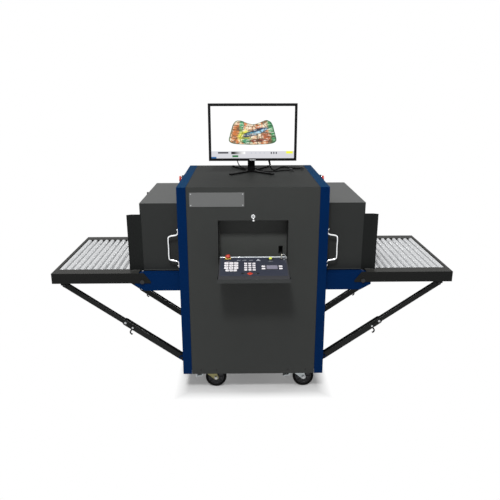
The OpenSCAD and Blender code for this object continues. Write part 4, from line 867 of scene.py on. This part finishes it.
def keyMark(kind, turn):
    # plain signs for the menu keys: arrows, bars, crosses and rings
    if kind == "ring":
        outer = 2.6 + 0.6 * turn
        return makeTurned("mark", [(outer, 0), (outer, 0.5), (1.7, 0.5), (1.7, 0)], around=24, ring=True)
    if kind == "arrow":
        return shift(threeSided(0.0036, 0.0005, (0, 0, 0.00025)), 0, 0, 0, turn - 90)
    mark = makeBox("mark", (-0.004, -0.0009, 0), (0.004, 0.0009, 0.0005), 0.0002, 1)
    if kind == "cross":
        mark = joinPieces("mark", [mark, makeBox("mark", (-0.0009, -0.004, 0), (0.0009, 0.004, 0.0005), 0.0002, 1)])
    return shift(mark, 0, 0, 0, turn)


for row in range(4):
    for column, x in enumerate(keyRows["menuX"]):
        last = row == 3
        across = keyRows["narrowX"][column] if last else x
        y = -(keyRows["menuBack"] + row * keyRows["menuPitch"])
        caps.append(copyTo(narrowCap if last else menuCap, "menuKey", Matrix.Translation((across, y, 0))))
        figures.append(shift(keyMark(*marks[row][column]), across, y, 0.0021))
for x in keyRows["sideX"]:
    for back in keyRows["sideBack"]:
        caps.append(copyTo(sideCap, "sideKey", Matrix.Translation((x, -back, 0))))
for spare in (numberCap, menuCap, narrowCap, sideCap):
    bpy.data.objects.remove(spare)
laidOn(joinPieces("whiteKeys", caps), keyWhite)
laidOn(joinPieces("keyFigures", figures), legendDark)

laidOn(shift(keyCap("diamondKey", 0.0238, 0.0238), -0.02, -0.1905, 0, 45), stopRed)
blackKeys = [copyTo(smallCap, "blackKey", Matrix.Translation((x, -keyRows["smallBack"], 0)))
    for x in keyRows["smallX"]]
bpy.data.objects.remove(smallCap)
laidOn(joinPieces("blackKeys", blackKeys), keyBlack)

# the display window, with a rim round a sunk glass
windowRim = makeBox("displayRim", (0.0666, -0.1464, 0), (0.1294, -0.1016, 0.003))
editMode(windowRim)
choose(lambda c, n: n.z > 0.9)
bpy.ops.mesh.inset(thickness=0.0016)
bpy.ops.mesh.extrude_region_move(TRANSFORM_OT_translate={"value": (0, 0, -0.001)})
objectMode()
laidOn(roundEdges(windowRim, 0.0006), keyBlack)
glass = Paint("lcd_glass", **{"Coat Weight": 0.8, "Roughness": 0.2, "Emission Strength": 0.12})
glassX, glassY = glass.parts()[:2]
lines = ((glassY * 4200).sine() > 0.2) * 0.3 + ((glassX * 900).sine() > -0.4) * 0.2
shade = glass.mixed(lines, (0.25, 0.24, 0.3), (0.15, 0.145, 0.2))
glass.set("Base Color", shade)
glass.set("Emission Color", shade)
laidOn(makeBox("displayGlass", (0.0685, -0.145, 0.0016), (0.1275, -0.103, 0.0024), 0.0002), glass.material)

# faint printed legends: a row of marks and a triangle behind the keys
legends = []
for i in range(12):
    wide = 0.003 + 0.0016 * ((i * 5) % 3)
    x = (-0.088, -0.056, -0.021)[i // 4] + 0.005 * (i % 4)
    legends.append(makeBox("legend", (x - wide / 2, -0.042 - 0.0018 * (i % 2), 0.0003),
        (x + wide / 2, -0.037 - 0.0012 * (i % 3), 0.0009), 0.0002, 1))
legends.append(threeSided(0.015, 0.0006, (0.027, -0.04, 0.0006)))
for x in (-0.138, 0.094):
    legends.append(makeBox("legend", (x - 0.011, -0.054, 0.0003), (x + 0.011, -0.052, 0.0009), 0.0002, 1))
laidOn(joinPieces("legends", legends), legendGrey)

# emergency stop: yellow collar and red mushroom
stopAt, upright = onKeypad(*console["stop"]), keypadTurn.to_3x3() @ Vector((0, 0, 1))
turnedPiece("stopCollar", [(8.2, 0), (18.2, 0), (18.2, 3.4), (17.2, 5.6), (15.8, 6.1), (8.2, 6.1)], stopAt, upright,
    44, "console", collarYellow, ring=True)
turnedPiece("stopHead", [(5.7, 5.4), (5.7, 10.4), (11, 10.6), (12.6, 11.6), (13, 13.4), (13, 17), (12.2, 20),
    (10.6, 22.4), (7.8, 24), (4, 24.8), (0.8, 25)], stopAt, upright, 44, "console_stop", stopRed,
    "console_stop_button")

# power button: dark collar and a lit dome
powerAt = onKeypad(*console["power"])
turnedPiece("powerRing", [(8.6, 0), (15.6, 0), (15.6, 2), (14.8, 3.2), (10, 3.6), (8.6, 3.2)], powerAt, upright, 40,
    "console", keyBlack, ring=True)
turnedPiece("powerDome", [(8.1, 0), (8.1, 6), (7.8, 8.2), (6.8, 10.2), (5, 11.5), (2.8, 12.2), (0.6, 12.4)],
    powerAt, upright, 36, "power_switch", powerGreen, "power_button")

# key switch: bezel, key and its ring
turnedPiece("switchBezel", [(5.6, 0), (11.2, 0), (11.2, 6.2), (10.2, 8), (7.2, 8.4), (5.6, 7.4)],
    onKeypad(*console["switch"]), upright, 36, "console", steel, ring=True)
dressNode("console_key", "key_switch", keyMetal, 0.0005)
keyRing = addNew(bpy.ops.mesh.primitive_torus_add, "keyRing", major_radius=0.0135, minor_radius=0.001,
    major_segments=48, minor_segments=10)
keyRing.data.transform(keypadTurn @ Matrix.Translation((0.1645, -0.03, 0.015))
    @ Matrix.Rotation(math.radians(66), 4, "X"))
tag = makeBox("keyTag", (0.1735, -0.0295, 0.0035), (0.1835, -0.0275, 0.0155), 0.0008)
tag.data.transform(keypadTurn)
finishPiece(joinPieces("keyRing", [smoothFaces(keyRing, 60), tag]), "key_switch", steel)
print("console dressed")


# monitor and its stand
monitor = {"screenLow": (-0.246, 1.331), "screenSize": (0.508, 0.311), "aspect": 0.612}
dressNode("monitor", "display", monitorBlack, 0.0012, 3, name="monitorCase")
dressNode("monitor_stand", "cabinet", standBlack, 0.0012, 3)

screen = Paint("screen_picture", **{"Base Color": (0.03, 0.03, 0.03), "Roughness": 0.4, "Emission Strength": 1.0,
    "Specular IOR Level": 0.06})
screenX, _, screenZ = screen.parts()
u = (screenX - monitor["screenLow"][0]) / monitor["screenSize"][0]
v = (screenZ - monitor["screenLow"][1]) / monitor["screenSize"][1]
aspect = monitor["aspect"]


def between(value, low, high, soft):
    return screen.span(value, low - soft, low + soft).smaller(screen.span(value, high - soft, high + soft, 1, 0))


def patch(lowU, highU, lowV, highV, soft):
    return between(u, lowU, highU, soft).smaller(between(v, lowV, highV, soft))


def blot(centreU, centreV, wide, high, turn, soft, ripple):
    # a soft-edged round shape, turned by an angle, one inside and nought outside
    across, up = u - centreU, (v - centreV) * aspect
    cosine, sine = math.cos(math.radians(turn)), math.sin(math.radians(turn))
    a = (across * cosine + up * sine) / wide
    b = (up * cosine - across * sine) / (high * aspect)
    reach = (a * a + b * b) ** 0.5 + (warp - 0.5) * ripple
    return screen.span(reach, 1 - soft, 1 + soft, 1, 0)


warp = screen.noise(16, 4, 0.6)
fine = screen.noise(70, 4, 0.62)
streak = screen.noise(40, 3, 0.6, place=screen.stretched((1, 1, 5)))
sway = (warp - 0.5) * 0.05
middle = abs(u - 0.5)
top = 0.703 + (middle * 15.5).cosine() * -0.045 + sway
bottom = 0.262 + (middle * 9.0).sine() * 0.01
wide = 0.292 - ((v - 0.34).larger(0.0) * 0.17) + sway * 0.4
corner = ((middle / wide) ** 5.0 + (abs((v - (top + bottom) * 0.5) / ((top - bottom) * 0.5)) ** 5.0)) ** 0.2
bag = screen.span(corner, 0.985, 1.01, 1, 0)
cells = screen.node("ShaderNodeTexVoronoi", {"Vector": screen.stretched((1.2, 1, 1.7)), "Scale": 17.0,
    "Randomness": 1.0}, feature="DISTANCE_TO_EDGE")
lumps = screen.noise(30, 3, 0.6, warp=1.0)
body = screen.mixed(screen.span(lumps, 0.4, 0.55), (0.78, 0.22, 0.05), (1.0, 0.86, 0.6))
body = screen.mixed(screen.span(fine, 0.56, 0.64) * 0.8, body, (0.25, 0.07, 0.02))
# centre, width, height, turn, softness, ripple and colour of each soft shape in the bag
blots = [
    (0.735, 0.52, 0.05, 0.36, 16, 0.3, 1.6, (0.05, 0.34, 0.12)),
    (0.365, 0.64, 0.026, 0.22, -8, 0.3, 1.2, (0.1, 0.45, 0.2)),
    (0.29, 0.47, 0.05, 0.18, -6, 0.4, 1.6, (0.66, 0.2, 0.04)),
    (0.4, 0.43, 0.075, 0.1, 20, 0.3, 1.1, (0.9, 0.88, 0.06)),
    (0.43, 0.33, 0.065, 0.055, -10, 0.3, 1.0, (0.03, 0.3, 0.14)),
    (0.57, 0.35, 0.12, 0.03, 4, 0.3, 0.8, (0.24, 0.03, 0.01)),
    (0.665, 0.42, 0.05, 0.12, 24, 0.35, 1.2, (0.5, 0.13, 0.04)),
    (0.54, 0.51, 0.165, 0.06, 20, 0.16, 1.3, (0.01, 0.03, 0.1)),
    (0.59, 0.52, 0.085, 0.022, 24, 0.18, 0.9, (0.34, 0.66, 0.88)),
    (0.49, 0.49, 0.06, 0.016, 12, 0.2, 0.8, (0.1, 0.42, 0.62))]
for *form, colour in blots:
    body = screen.mixed(blot(*form), body, colour)
body = screen.mixed(screen.span(streak, 0.57, 0.63) * 0.8, body, (0.01, 0.05, 0.04))
body = screen.mixed(screen.span(streak, 0.38, 0.43, 1, 0) * 0.8, body, (1.0, 0.95, 0.82))
body = screen.mixed(screen.span(cells, 0.02, 0.07, 1, 0) * 0.75, body, (0.05, 0.04, 0.01))
picture = screen.mixed(bag, (0.995, 0.998, 1.0), body)
rim = screen.span(abs(corner - 0.98), 0.01, 0.034, 1, 0)
picture = screen.mixed(rim * 0.9, picture, (0.02, 0.11, 0.04))
shades = screen.span(u, 0.275, 0.4)
shades = screen.node("ShaderNodeCombineColor", {0: shades, 1: shades, 2: shades})
for low, high, foot, head, soft, colour in (
        (-1, 2, -1, 0.14, 0.006, (0.68, 0.68, 0.72)), (0.08, 0.205, 0.094, 0.124, 0.002, (0.02, 0.02, 0.03)),
        (0.24, 0.41, 0.082, 0.13, 0.002, shades), (0.253, 0.325, 0.022, 0.06, 0.003, (0.005, 0.16, 0.03)),
        (0.905, 0.985, 0.092, 0.138, 0.003, (0.92, 0.95, 0.03)), (-1, 0.06, -1, 0.03, 0.003, (0.01, 0.12, 0.35))):
    picture = screen.mixed(patch(low, high, foot, head, soft), picture, colour)
ticks = ((u * 210).sine() > -0.1).smaller(patch(0.708, 0.8, 0.085, 0.125, 0.002))
picture = screen.mixed(ticks * 0.9, picture, (0.03, 0.04, 0.05))
buttons = ((u * 120).sine() > 0.5).smaller(patch(0.45, 0.655, 0.096, 0.112, 0.002))
picture = screen.mixed(buttons * 0.5, picture, (0.34, 0.42, 0.52))
screen.set("Emission Color", screen.mixed(((u * 1900).sine() * (v * 1200).sine() > 0.0) * 0.02, picture, (0, 0, 0)))
for name, low, high, edge, segments, paint in (
        ("screenPanel", (-0.2462, 0.087, 1.3308), (0.2622, 0.0873, 1.6422), 0.0001, 1, screen.material),
        ("bezelMark", (-0.01, 0.0848, 1.3168), (0.026, 0.0866, 1.3238), 0.0006, 3, steel)):
    finishPiece(makeBox(name, low, high, edge, segments), "display", paint)
vents = []
for i in range(26):
    x = -0.11 + i * 0.0092
    if abs(x - 0.008) > 0.042:
        vents.append(makeBox("vent", (x - 0.0018, 0.1352, 1.505), (x + 0.0018, 0.1362, 1.535), 0.0004, 1))
finishPiece(joinPieces("monitorVents", vents), "display", darkHole)
print("monitor dressed")


# floor, lights and world
studio = {"floorSize": 14.0, "skyStrength": 0.22, "floorGlow": 0.155, "glowReach": 0.06, "lights": {
    # place, aimed height, size and power
    "top": ((-0.4, -1.8, 4.4), 0.7, 2.4, 58.0), "front": ((-0.45, -3.8, 4.55), 0.8, 0.75, 195.0),
    "left": ((-4.4, 0.6, 1.25), 0.8, 1.8, 62.0), "right": ((4.4, 0.6, 1.25), 0.8, 1.8, 62.0),
    "rear": ((0.4, 4.6, 0.66), 0.7, 1.15, 62.0)}}


def whiteRays(tree):
    # the rays that see the white background: from the camera, off gloss and through glass
    camera, gloss, through = [addNode(tree, "ShaderNodeLightPath", output=f"Is {kind} Ray")
        for kind in ("Camera", "Glossy", "Transmission")]
    return camera.larger(gloss).larger(through)


floor = addNew(bpy.ops.mesh.primitive_plane_add, "studio_floor", size=studio["floorSize"],
    location=(0, 1.0, -0.0008))
floorPaint = Paint("studio_floor", **{"Roughness": 0.9, "Specular IOR Level": 0.0})
floorPaint.set("Base Color", floorPaint.mixed(floorPaint.noise(0.7, 2), (0.66, 0.66, 0.66), (0.69, 0.69, 0.69)))
glowing = floorPaint.node("ShaderNodeEmission")
floorX, floorY = floorPaint.parts()[:2]
away = (abs(floorX) - cabinet["halfWidth"]).larger(abs(floorY) - cabinet["halfDepth"])
glow = floorPaint.span(away, -0.02, studio["glowReach"], studio["floorGlow"], 1.0)
blend = floorPaint.node("ShaderNodeMixShader", {0: whiteRays(floorPaint.tree) * glow, 2: glowing})
floorPaint.tree.links.new(floorPaint.shader.outputs[0], blend.socket.node.inputs[1])
floorPaint.tree.links.new(blend.socket, floorPaint.tree.nodes["Material Output"].inputs["Surface"])
floor.data.materials.append(floorPaint.material)

world = bpy.data.worlds.new("studio")
bpy.context.scene.world = world
world.use_nodes = True
backdrop = world.node_tree.nodes["Background"]
backdrop.inputs["Color"].default_value = (1, 1, 1, 1)
sky = studio["skyStrength"]
feed(world.node_tree, backdrop.inputs["Strength"], sky + whiteRays(world.node_tree) * (1 - sky))

for name, (place, aim, size, power) in studio["lights"].items():
    clearSelection()
    bpy.ops.object.light_add(type="AREA", location=place)
    lamp = bpy.context.object
    lamp.name = name + "_light"
    lamp.data.shape = "DISK"
    lamp.data.size = size
    lamp.data.energy = power
    lamp.rotation_euler = (Vector((0, 0, aim)) - Vector(place)).to_track_quat("-Z", "Y").to_euler()
bpy.context.scene.view_settings.view_transform = "Standard"
print("studio ready")
